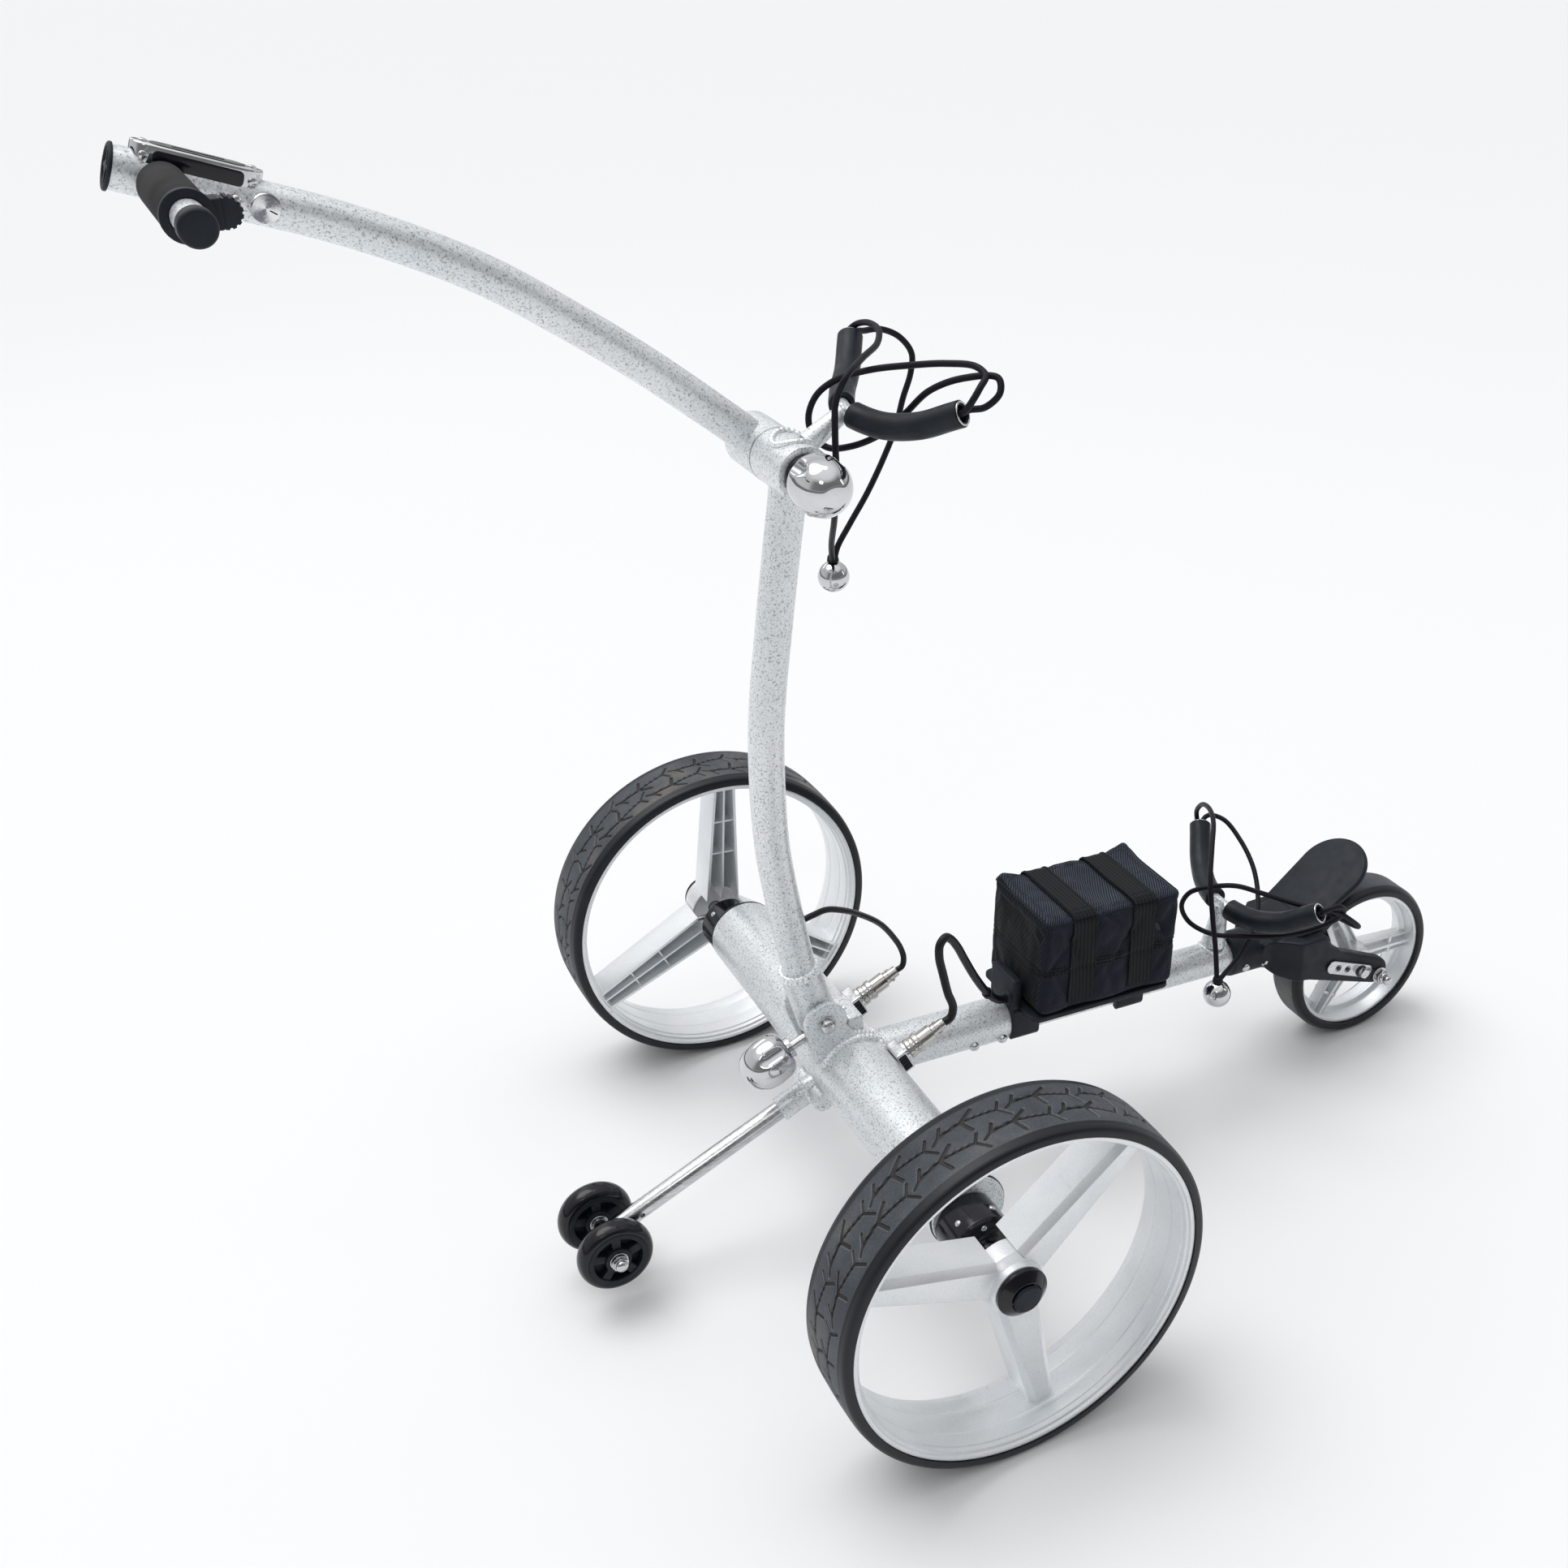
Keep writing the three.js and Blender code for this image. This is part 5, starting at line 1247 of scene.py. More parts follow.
def front_wheel():
    half = FRONT_W / 2
    side = [(FRONT_RIM_R + GAP, half), (75.4, half), (77.6, half - 0.7), (79.2, half - 3.2),
            (80.0, half - 5.2), (80.5, half - 6.2)]
    profile = [(r, -w) for r, w in side] + [(81, -12), (81, -6), (81, 0), (81, 6), (81, 12)]
    tyre_obj = build("front_tyre_ring", "front_wheel", "tyre",
                     [turned_ring(profile + side[::-1], FRONT, Y, 0.9, 3, 180)], ["front_tyre"], 50)
    co = to_mm_all(tyre_obj)
    r = np.hypot(co[:, 0] - FRONT[0], co[:, 2] - FRONT[2])
    # crown places the tyre paint's dust and painted sheen on the tread band.
    mark(tyre_obj, "crown", np.clip((r - 80.2) / 0.5, 0, 1))
    mark(tyre_obj, "groove", 0 * r)
    ring = [(FRONT_RIM_R, -16.4), (FRONT_RIM_R, 16.4), (67.6, 16.4), (67.2, 9), (66.8, 2.4), (64, 1.7),
            (61, 1.6), (61, -1.6), (64, -1.7), (66.8, -2.4), (67.2, -9), (67.6, -16.4)]
    hub = [(5.3, -17), (11.5, -17), (13, -15), (13, 15), (11.5, 17), (5.3, 17)]
    shells = [turned_ring(ring, FRONT, Y, 0.6, 3, 144), turned_ring(hub, FRONT, Y, 0.8, 3)]
    for angle in (357, 117, 237):
        a = math.radians(angle)
        out, across = vec(math.cos(a), 0, math.sin(a)), vec(-math.sin(a), 0, math.cos(a))

        def place(r, h, w, out=out, across=across):
            return FRONT + out * r + across * h + Y * w

        shells.append(slab([(8, -11), (67.6, -8), (67.6, 8), (8, 11)], place, -2.4, 2.4, 0.6))
        shells.append(slab([(8, -1.8), (67.6, -1.8), (67.6, 1.8), (8, 1.8)], place, -9, 9, 0.5))
        shells.append(slab([(44, -9.2), (47, -9), (47, 9), (44, 9.2)], place, -7, 7, 0.5))
        for h0, h1 in ((-11, -8), (11, 8)):
            inner = -1.6 if h0 > 0 else 1.6
            edge = [(10, h0), (67, h1), (67, h1 + inner), (10, h0 + inner)]
            shells.append(slab(edge, place, -6, 6, 0.4))
    build("front_rim_moulding", "front_wheel", "alloy_rim", shells, ["front_rim"])


REST_LEAN = math.radians(54.8)


def bag_rest():
    along = vec(math.sin(REST_LEAN), 0, math.cos(REST_LEAN))
    normal = vec(-math.cos(REST_LEAN), 0, math.sin(REST_LEAN))
    base = vec(474.5, 0, 150.5)
    outline = [*arc(0, 56.7, 36.4, 0, 180, 40), (-33.5, -13), (-29, -16), (29, -16), (33.5, -13)]
    plate = slab(eased(outline, 1.2, 2, closed=True),
                 lambda u, v, w: base + Y * u + along * v + normal * w, -1.6, 5.6, 3.4, 7)
    build("bag_rest_paddle", "frame", "black_coat", [plate], ["bag_rest"])


# --- battery tray and the bag ---------------------------------------------------------------
def battery_tray():
    deck = eased([(BAG_REAR - 6, -44), (BAG_FRONT - 2, -44), (BAG_FRONT - 2, 44), (BAG_REAR - 6, 44)], 8, 8,
                 closed=True)
    shells = [slab(deck, nose, NOSE_R + 1, 22, 1.2)]
    for start in (158, 268):
        inner = arc(0, 0, NOSE_R + GAP + 0.2, -38, 218, 40)
        outer = eased([(-21, -11), (-21, 18.5), (21, 18.5), (21, -11)], 3.5, 5, closed=False)
        outline = [*inner, *eased([(-14.6, -11.6), (-18, -13), (-21, -9), *outer[1:-1], (21, -9), (18, -13),
                                   (14.6, -11.6)], 1.5, 3)]
        shells.append(slab(outline, lambda u, v, w, start=start: nose(start + w, u, v), 0, 28, 1.0))
    back = eased([(-20, NOSE_R + 1), (20, NOSE_R + 1), (20, 48), (-20, 48)], 4, 4, closed=True)
    shells.append(slab(back, lambda u, v, w: nose(w, u, v), 158, 166, 1.2))
    build("battery_tray_moulding", "frame", "black_plastic", shells, ["battery_tray"])


BAG_MIDDLE = ((BAG_REAR + BAG_FRONT) / 2, 0.0, (BAG_LOW + BAG_HIGH) / 2)
BAG_SIZE = ((BAG_FRONT - BAG_REAR) / 2, BAG_HALF, (BAG_HIGH - BAG_LOW) / 2)


def box_grid(half, step, r):
    """Rounded box about the origin: vertices and quads of a fine grid."""
    verts, faces = [], []
    for axis in range(3):
        u, v = (axis + 1) % 3, (axis + 2) % 3
        nu, nv = (max(4, round(2 * half[i] / step)) for i in (u, v))
        for s in (1, -1):
            grid = np.zeros((nu + 1, nv + 1, 3))
            grid[..., axis] = s * half[axis]
            grid[..., u] = np.linspace(-half[u], half[u], nu + 1)[:, None]
            grid[..., v] = np.linspace(-half[v], half[v], nv + 1)[None, :]
            base = sum(len(b) for b in verts)
            verts.append(grid.reshape(-1, 3))
            i, k = np.meshgrid(np.arange(nu), np.arange(nv), indexing="ij")
            at = base + i * (nv + 1) + k
            faces += np.stack([at, at + 1, at + nv + 2, at + nv + 1], -1).reshape(-1, 4).tolist()
    verts = np.concatenate(verts)
    inner = np.clip(verts, -(np.array(half) - r), np.array(half) - r)
    away = verts - inner
    away /= np.maximum(np.linalg.norm(away, axis=1), 1e-9)[:, None]
    return inner + away * r, faces


def bag_to_frame(local):
    local = np.asarray(local, float)
    return nose(local[:, 0] + BAG_MIDDLE[0], local[:, 1], local[:, 2] + BAG_MIDDLE[2])


def frame_to_bag(points):
    """The way back from bag_to_frame."""
    p = np.asarray(points, float) - vec(0, 0, NOSE_Z)
    c, s = math.cos(NOSE_TILT), math.sin(NOSE_TILT)
    along, above = p[:, 0] * c + p[:, 2] * s, -p[:, 0] * s + p[:, 2] * c
    return np.stack([along - BAG_MIDDLE[0], p[:, 1], above - BAG_MIDDLE[2]], -1)


def smooth_bump(x, centre, width):
    return np.exp(-((x - centre) / width) ** 2)


STRAPS = ((197, 222), (258, 283))
STRAP_THICK = 1.3


def drape(obj):
    """Fills the bag with a light cloth simulation, held at the foot and under the straps."""
    local = frame_to_bag(to_mm_all(obj))
    held = np.clip((-local[:, 2] - BAG_SIZE[2] + 12) / 8, 0, 1)
    for a0, a1 in STRAPS:
        middle = (a0 + a1) / 2 - BAG_MIDDLE[0]
        held = np.maximum(held, 0.75 * (np.abs(local[:, 0] - middle) < 11))
    corner = np.minimum(BAG_SIZE[0] - np.abs(local[:, 0]), BAG_SIZE[1] - np.abs(local[:, 1]))
    held = np.maximum(held, 0.5 * (corner < 3) * (np.abs(local[:, 2]) > BAG_SIZE[2] - 6))
    group = obj.vertex_groups.new(name="held")
    for i, weight in enumerate(held):
        if weight > 0:
            group.add([i], float(weight), "REPLACE")
    cloth = obj.modifiers.new("cloth", "CLOTH")
    cloth.settings.quality = 4
    cloth.settings.mass = 0.25
    cloth.settings.tension_stiffness = cloth.settings.compression_stiffness = 25
    cloth.settings.shear_stiffness = 10
    cloth.settings.bending_stiffness = 1.5
    cloth.settings.use_pressure = True
    cloth.settings.uniform_pressure_force = 1.6
    cloth.settings.vertex_group_mass = "held"
    cloth.settings.pin_stiffness = 12
    cloth.settings.effector_weights.gravity = 0
    cloth.settings.shrink_min = -0.012
    cloth.collision_settings.use_collision = False
    scene = bpy.context.scene
    cloth.point_cache.frame_start, cloth.point_cache.frame_end = 1, 18
    for number in range(1, 19):
        scene.frame_set(number)
    settle(obj)
    scene.frame_set(1)


# Slack folds on the near side: place along, level, size, depth, slope.
FOLDS = [(-42, 20, 10, 3.2, 0.5), (12, 8, 9, 2.8, -0.7), (0, -22, 8, 2.4, 0.4), (48, 16, 9, 3.0, 0.6),
         (52, -20, 8, 2.6, -0.5), (-50, -18, 9, 2.6, 0.5), (5, 30, 9, 2.6, 1.1), (-58, 4, 8, 2.4, -0.9),
         (60, 2, 8, 2.4, 1.0)]


def bag_shape(local):
    """Cuts the filled bag back to what the photo shows: worn corners and slack folds, with the straps' squeeze
    and the zip's groove; its flat base is cut before this, in battery_bag.
    """
    p = local.copy()
    x, y, z = p.T
    sx, sy, sz = BAG_SIZE
    top = np.clip((z - sz + 16) / 16, 0, 1)
    p[:, 2] += 6.5 * top * smooth_bump(x, sx - 4, 11) * smooth_bump(y, sy - 5, 12)
    p[:, 2] += 5.0 * top * smooth_bump(x, -sx + 4, 11) * smooth_bump(y, sy - 5, 12)
    p[:, 2] += 1.2 * top * smooth_bump(x, -sx + 3, 7) * smooth_bump(y, -sy + 4, 8)
    p[:, 2] -= 1.6 * top * smooth_bump(x, 0.5, 16) * (np.abs(y) < sy)
    near = np.clip((-y - sy + 14) / 14, 0, 1)
    for at, level, size, depth, slope in FOLDS:
        line = (x - at) + slope * (z - level)
        p[:, 1] += depth * near * np.exp(-(line / 3.6) ** 2) * np.exp(-((z - level) / (2.2 * size)) ** 2)
    for middle in [(a0 + a1) / 2 - BAG_MIDDLE[0] for a0, a1 in STRAPS]:
        squeeze = 2.6 * np.clip(1.5 - np.abs(x - middle) / 15, 0, 1)
        p[:, 2] -= squeeze * top
        p[:, 1] += squeeze * near - squeeze * np.clip((y - sy + 14) / 14, 0, 1)
    level = ZIP_LEVEL - BAG_MIDDLE[2]
    groove = 1.5 * np.exp(-((z - level) / 2.6) ** 2)
    wall = np.maximum(np.abs(x) / sx, np.abs(y) / sy) > 0.8
    scale = 1 - groove * wall / 60
    p[:, 0] *= scale
    p[:, 1] *= scale
    return p


def battery_bag():
    verts, faces = box_grid(BAG_SIZE, 2.4, 8)
    obj = build("battery_bag_skin", "", "fabric", [(bag_to_frame(verts), faces)], merge=True)
    drape(obj)
    local = frame_to_bag(to_mm_all(obj))
    limit = np.array(BAG_SIZE) + vec(4.2, 2.6, 3.6)
    half = np.array(BAG_SIZE)
    over = np.abs(local) - half
    soft = np.where(over > 0, half + (limit - half) * np.tanh(over / (limit - half)), np.abs(local))
    local = np.sign(local) * soft
    local[:, 2] = np.maximum(local[:, 2], -BAG_SIZE[2])
    local = bag_shape(local)
    place = to_m(bag_to_frame(local))
    obj.data.vertices.foreach_set("co", place.astype(np.float32).ravel())
    obj.data.update()
    finer = obj.modifiers.new("finer", "SUBSURF")
    finer.levels = finer.render_levels = 1
    settle(obj)
    local = frame_to_bag(to_mm_all(obj))
    normals = np.zeros(len(obj.data.vertices) * 3, np.float32)
    obj.data.vertices.foreach_get("normal", normals)
    normals = normals.reshape(-1, 3)
    # Painted light: how far each point faces up, which the fabric uses to paint the top paler and the sides
    # darker.
    mark(obj, "lit", np.clip(normals[:, 2] * 1.6 - 0.3, 0, 1))
    rear = (-local[:, 0] > BAG_SIZE[0] - 3) & (np.abs(local[:, 1]) < BAG_SIZE[1] - 8)
    mark(obj, "plain", rear * 1.0)
    return dress(obj, "frame", "fabric", ["bag_body", "bag_lid"], 60)


def tree_of(obj):
    co = to_mm_all(obj)
    return BVHTree.FromPolygons([Vector(c) for c in co], [tuple(p.vertices) for p in obj.data.polygons])


def on_skin(tree, point, middle, lift):
    """The point of a skin outward of the middle, towards a point, lifted off it."""
    point, middle = Vector(point), Vector(middle)
    way = (point - middle).normalized()
    hit, normal, _, _ = tree.ray_cast(middle + way * 200, -way)
    if hit is None:
        return np.array(point)
    if normal.dot(way) < 0:
        normal = -normal
    return np.array(hit + normal * lift)


STRAP_CENTRE = BAG_MIDDLE[2] - 4


def strap_ray(along, angle):
    """Far and middle points of a ray in a bag cross-section, for an angle from straight up."""
    return (nose(along, math.sin(angle) * 100, STRAP_CENTRE + math.cos(angle) * 100),
            nose(along, 0, STRAP_CENTRE))


def strip_round(tree, a0, a1, start, end, lift, wave=0.0, count=150, across=9):
    """Strap over the bag between two angles, seen along the tube; 0 is straight up, + is the left side."""
    rings = []
    for t in np.linspace(0, 1, count):
        angle = start + (end - start) * t
        low, high = [], []
        for k, along in enumerate(np.linspace(a0, a1, across)):
            target, middle = strap_ray(along, angle)
            extra = wave * math.sin(9 * angle + 1.7 * k)
            edge = 0.25 if k in (0, across - 1) else 0.0
            low.append(on_skin(tree, target, middle, lift + extra))
            high.append(on_skin(tree, target, middle, lift + STRAP_THICK + extra - edge))
        rings.append(np.array(low + high[::-1]))
    return loft(np.array(rings), caps=True)


def stitches(tree, path, lift, pitch=2.6, length=1.9, r=0.32):
    """Row of stitches along points given as (target, middle) pairs."""
    points = np.array([on_skin(tree, target, middle, lift) for target, middle in path])
    points = resampled(points, max(3, round(line_length(points) / 0.4)))
    each = max(2, round(pitch / 0.4))
    keep = max(2, round(length / 0.4))
    out = []
    for i in range(0, len(points) - keep, each):
        piece = points[i:i + keep + 1]
        out.append(swept(piece, [r * 0.5] + [r] * (len(piece) - 2) + [r * 0.5], 6))
    return out


def strap_sets(tree):
    """Each strap: a band under and over the bag, a lapped end on top of it, and the stitching."""
    under = math.radians(128)
    for name, (a0, a1) in zip(("rear", "front"), STRAPS):
        near = strip_round(tree, a0, a1, -under, math.radians(30), 0.6)
        flap = strip_round(tree, a0 + 0.6, a1 - 0.6, math.radians(-42), math.radians(118), 1.9, 0.1, 110)
        build(f"bag_strap_{name}_band", "frame", "webbing", [near, flap], [f"bag_strap_{name}"], 55)
        rows = []
        for along in (a0 + 2, a1 - 2):
            angles = np.linspace(math.radians(-40), math.radians(112), 120)
            rows += stitches(tree, [strap_ray(along, angle) for angle in angles], 3.3)
        for turn in (-38, -34):
            places = np.linspace(a0 + 2, a1 - 2, 14)
            rows += stitches(tree, [strap_ray(along, math.radians(turn)) for along in places], 3.3)
        build(f"bag_strap_{name}_stitching", "frame", "webbing:thread", rows)


def bag_rim(count):
    """Points round the bag's own outline, seen from above."""
    for t in np.linspace(0, 2 * math.pi, count, endpoint=False):
        c, s = math.cos(t), math.sin(t)
        reach = 1 / max(abs(c) / BAG_SIZE[0], abs(s) / BAG_SIZE[1])
        yield c * reach, s * reach


def beside(x, y, level):
    """A far point beside the bag at one height, for a ray through its outline there."""
    return nose(BAG_MIDDLE[0] + x * 1.5, y * 1.5, level)


def bag_band(tree, level, lift, r_up, sides=8, flat=0.45):
    """Tape round the bag at one height."""
    middle = nose(BAG_MIDDLE[0], 0, level)
    line = np.array([on_skin(tree, beside(x, y, level), middle, lift) for x, y in bag_rim(260)])
    out = line - middle
    up = unit(nose(0, 0, 1) - nose(0, 0, 0))
    out -= (out @ up)[:, None] * up
    out /= np.linalg.norm(out, axis=1)[:, None]
    turn = np.linspace(0, 2 * math.pi, sides, endpoint=False)
    rings = [line + out * (math.cos(a) * r_up * flat) + up * math.sin(a) * r_up for a in turn]
    return loft(np.stack(rings, 1), wrap=True)


def bag_trim(tree):
    """Zip tapes and teeth, two rows of seam stitches on top, and the piping round the lid's edge."""
    build("battery_bag_zip_tapes", "frame", "webbing",
          [bag_band(tree, ZIP_LEVEL + d, 0.3, 1.5) for d in (-2.6, 2.6)])
    teeth = []
    middle = nose(BAG_MIDDLE[0], 0, ZIP_LEVEL)
    for x, y in bag_rim(300):
        foot, tip = (on_skin(tree, beside(x, y, ZIP_LEVEL), middle, lift) for lift in (0.2, 1.1))
        teeth.append(rod(foot, tip, 0.85, 0.25, 8))
    build("battery_bag_zip_teeth", "frame", "black_plastic", teeth)
    seams = []
    up = BAG_MIDDLE[2]
    for inset_by in (7.5, 10):
        u, v = BAG_SIZE[0] - inset_by, BAG_SIZE[1] - inset_by
        outline = eased([(-u, -v), (u, -v), (u, v), (-u, v)], 7, 5, closed=True)
        path = []
        for (x0, y0), (x1, y1) in zip(outline, np.roll(outline, -1, 0)):
            for t in np.linspace(0, 1, 12, endpoint=False):
                x, y = x0 + (x1 - x0) * t, y0 + (y1 - y0) * t
                path.append((nose(BAG_MIDDLE[0] + x, y, up + 100), nose(BAG_MIDDLE[0] + x, y, up)))
        seams += stitches(tree, path, 0.15, 3.0, 2.2, 0.3)
    build("battery_bag_seam", "frame", "webbing:thread", seams)
    piping = []
    for x, y in bag_rim(260):
        corner = nose(BAG_MIDDLE[0] + x * 1.02, y * 1.02, up + BAG_SIZE[2] * 1.02)
        inner = nose(BAG_MIDDLE[0] + x * 0.7, y * 0.7, up + BAG_SIZE[2] * 0.55)
        piping.append(on_skin(tree, corner, inner, 0.25))
    piping = np.array(piping + piping[:1])
    rings = ringed(piping, 0.95, 10)[:-1]
    build("battery_bag_piping", "frame", "fabric", [loft(rings, wrap=True)])


# --- anti-tip arm -----------------------------------------------------------------------------
def anti_tip():
    """Drilled arm, its axle and nuts, and the spring button in the sleeve."""
    end = anti(ANTI_LENGTH + 7, 0, 0)
    arm = mesh_object("anti_tip_rod_tube", [rod(anti(37, 0, 0), end, 8, 1.2, 64)])
    hole = anti(ANTI_LENGTH - 34, 0, 0)
    carve(arm, [rod(hole - Y * 12, hole + Y * 12, 2.2, 0.1, 24)])
    dress(arm, "frame", "steel", ["anti_tip_rod"])
    shells = [rod(ANTI - Y * 39, ANTI + Y * 39, 4)]
    for way in (Y, -Y):
        shells += [disc(ANTI + way * 7, way, 6, 4.6, 0.3, 40), disc(ANTI + way * 37.6, way, 7.2, 1, 0.3, 40),
                   nut(ANTI + way * 38.4, way, 6.8, 2.6), dome(ANTI + way * 40.6, way, 5.2, 4.8, 40)]
    build("anti_tip_axle", "frame", "chrome", shells)
    out = unit(anti(50, -9.7, 14) - anti(50, 0, 4))
    foot = anti(50, 0, 4) + out * 3.4
    button = eased([(0, 0), (2.3, 0), (2.3, 7.6), (1.6, 9), (0, 9.6)], 0.7)
    build("anti_tip_button_head", "tip_button", "chrome", [lathe(button, foot, out, 32)], ["anti_tip_button"])


def tip_wheel(side, s):
    """Gloss tyre, spoked core and bearing of one anti-tip wheel."""
    centre, body = ANTI + Y * s * 25, f"tip_wheel_{side}"
    tread = [(24.5, -8.8), (27, -9.2), (29.8, -7.4), (31.4, -4), (32, 0), (31.4, 4), (29.8, 7.4), (27, 9.2),
             (24.5, 8.8)]
    build(f"anti_tip_wheel_{side}_tyre", body, "gloss_black", [turned_ring(tread, centre, Y, 1.2, 3, 96)],
          [f"anti_tip_wheel_{side}"])
    core = [(20.6, -9.2), (25, -9.2), (25, 9.2), (20.6, 9.2)]
    hub = [(7.6, -10.6), (11, -10.2), (11.4, 0), (11, 10.2), (7.6, 10.6)]
    shells = [turned_ring(core, centre, Y, 0.7, 3, 96), turned_ring(hub, centre, Y, 0.7, 3),
              pipe(centre - Y * 2, centre + Y * 2, 22, 9, 0.3, 72)]
    for number in range(5):
        a = math.radians(18 + 72 * number)
        spread, flank = vec(math.cos(a), 0, math.sin(a)), vec(-math.sin(a), 0, math.cos(a))

        def place(r, h, w, spread=spread, flank=flank):
            return centre + spread * r + flank * h + Y * w

        shells.append(slab([(10, -3.4), (21.5, -4.2), (21.5, 4.2), (10, 3.4)], place, -8.2, 8.2, 0.9))
    build(f"anti_tip_wheel_{side}_core", body, "black_plastic", shells)
    bearing = [(4.3, -10.9), (7.8, -10.9), (7.8, 10.9), (4.3, 10.9)]
    build(f"anti_tip_wheel_{side}_bearing", body, "steel", [turned_ring(bearing, centre, Y, 0.5, 3, 48)])


# --- mast -------------------------------------------------------------------------------------
def from_pivot(up, ahead):
    """A point up the mast's foot from its pivot, and ahead of it."""
    return vec(PIVOT[0] - up * math.sin(LEAN) + ahead * math.cos(LEAN), 0,
               PIVOT[2] + up * math.cos(LEAN) + ahead * math.sin(LEAN))


MAST_LINE = spline([(HUB[0], 0, HUB[2]), (-20.5, 0, 652), (-34.3, 0, 569), (-46.8, 0, 478), (-48.4, 0, 384),
                    (-43.3, 0, 334), (-35, 0, 280), (-30, 0, 250)], 4)


def mast():
    """Bent tube with a slotted foot at the pivot and half of the handle joint at its top."""
    build("mast_tube", "mast", "silver_paint", [swept(MAST_LINE, MAST_R, 64)], ["mast"])
    foot = mesh_object("mast_socket", [rod(from_pivot(-21.5, 0), from_pivot(45, 0), SOCKET_R, 1.2, 96)])
    upward = unit(from_pivot(1, 0) - from_pivot(0, 0))
    ahead = unit(from_pivot(0, 1) - from_pivot(0, 0))

    def slot_at(middle, half_u, half_v):
        outline = [(-half_u, -half_v), (half_u, -half_v), (half_u, half_v), (-half_u, half_v)]
        return slab(outline, lambda u, v, w: middle + ahead * u + upward * v + Y * w, -5.3, 5.3, 0.1)

    carve(foot, [slot_at(from_pivot(-20.4, 0), 22, 10), slot_at(from_pivot(2, 17), 7, 30)])
    dress(foot, "mast", "silver_paint")
    split = SPLIT_Y - JOINT_GAP / 2
    barrel = eased([(0, -SPLIT_Y), (JOINT_R, -SPLIT_Y), (JOINT_R, split), (0, split)], 1.4, 5)
    build("mast_joint_barrel", "mast", "silver_paint", [lathe(barrel, HUB, Y, 128)])
    join = from_pivot(45.5, 0)
    axis = from_pivot(46, 0) - join
    beads = [weld_ring(join + axis * 2.6 * k, axis, MAST_R + 2.2 - 1.1 * k, 2.9) for k in range(2)]
    neck = MAST_LINE[0] - MAST_LINE[6]
    beads.append(weld(saddle(MAST_LINE[9], neck, MAST_R, HUB, JOINT_R, 0.8), 2.0))
    build("mast_welds", "mast", "silver_paint:weld", beads)
    out = unit(vec(28, 0, 3))
    grommet = [(2.7, 0), (5.2, 0), (5.2, 2), (2.7, 2.4)]
    build("mast_cable_grommet", "mast", "rubber", [turned_ring(grommet, vec(-27.6, 0, 301.6), out, 0.5, 4, 40)])


# --- handle --------------------------------------------------------------------------------------
HEAD_START = vec(-350, HANDLE_Y, 891.2)
HEAD_END = vec(-411, HANDLE_Y, 913.3)
HEAD_WAY = unit(HEAD_END - HEAD_START)
HANDLE_LINE = spline([(HUB[0], HANDLE_Y, HUB[2]), (-52.5, HANDLE_Y, 711.5), (-104, HANDLE_Y, 754.6),
                      (-150.9, HANDLE_Y, 790), (-197.8, HANDLE_Y, 822.6), (-240.9, HANDLE_Y, 846.5),
                      (-295, HANDLE_Y, 871), HEAD_START, HEAD_END], 4)


def handle():
    """Bent tube with its half of the joint, the cross grip's tube, welds, studs and the end plug."""
    tube = swept(HANDLE_LINE, HANDLE_R, 64, 0.4)
    grip = rod((GRIP[0], -104, GRIP[2]), (GRIP[0], 39, GRIP[2]), 9.5, 0.8, 64)
    boss = rod(DIAL - Y * 8, DIAL - Y * (HANDLE_R + 0.2), 8.6, 0.5, 64)
    build("handle_tube_bend", "handle", "silver_paint", [tube, grip, boss], ["handle_tube"])
    split = SPLIT_Y + JOINT_GAP / 2
    barrel = eased([(0, split), (JOINT_R, split), (JOINT_R, 72), (0, 72)], 1.6, 5)
    build("handle_joint_barrel", "handle", "silver_paint", [lathe(barrel, vec(HUB[0], 0, HUB[2]), Y, 128)])
    liner_r = JOINT_R + JOINT_GAP / 2
    liner = [(JOINT_R - 3, -0.5), (liner_r, -0.5), (liner_r, 0.5), (JOINT_R - 3, 0.5)]
    build("handle_joint_liner", "handle", "steel", [lathe(liner, vec(HUB[0], SPLIT_Y + 0.6, HUB[2]), Y, 128)])
    bolt = dome(vec(HUB[0], 71.4, HUB[2]), Y, 6, 3, 40)
    head = dome(vec(-347, HANDLE_Y - HANDLE_R + 0.4, 890.1), -Y, 3.2, 3.4, 32)
    build("handle_studs", "handle", "chrome", [bolt, head])
    neck = HANDLE_LINE[0] - HANDLE_LINE[6]
    hub = vec(HUB[0], HANDLE_Y, HUB[2])
    beads = [weld(saddle(HANDLE_LINE[9], neck, HANDLE_R, hub, JOINT_R, 0.8), 2.0), weld(grip_seam(), 1.5)]
    build("handle_welds", "handle", "silver_paint:weld", beads)
    end_plug()


def end_plug():
    """Dished cap in the handle's end, with a raised cross."""
    profile = eased([(0, -8), (9.9, -8), (9.9, GAP), (14.2, GAP), (14.2, 2.0), (13.2, 2.8), (11.4, 2.6),
                     (10.9, 0.8), (0, 0.8)], 0.5, 3)
    side, third = perpendicular(HEAD_WAY, Y)

    def place(u, v, w):
        return HEAD_END + side * u + third * v + HEAD_WAY * w

    cross = [slab(box_outline(-10.4, 10.4, -1.2, 1.2, 0.3), place, 0.6, 2.2, 0.3),
             slab(box_outline(-1.2, 1.2, -10.4, 10.4, 0.3), place, 0.6, 2.2, 0.3),
             lathe(eased([(0, 0.6), (3.6, 0.6), (3.6, 2.4), (0, 2.4)], 0.4), HEAD_END, HEAD_WAY, 32)]
    build("handle_end_plug_cap", "handle", "black_plastic", [lathe(profile, HEAD_END, HEAD_WAY, 64)],
          ["handle_end_plug"])
    build("handle_end_plug_cross", "handle", "battery_case", cross)


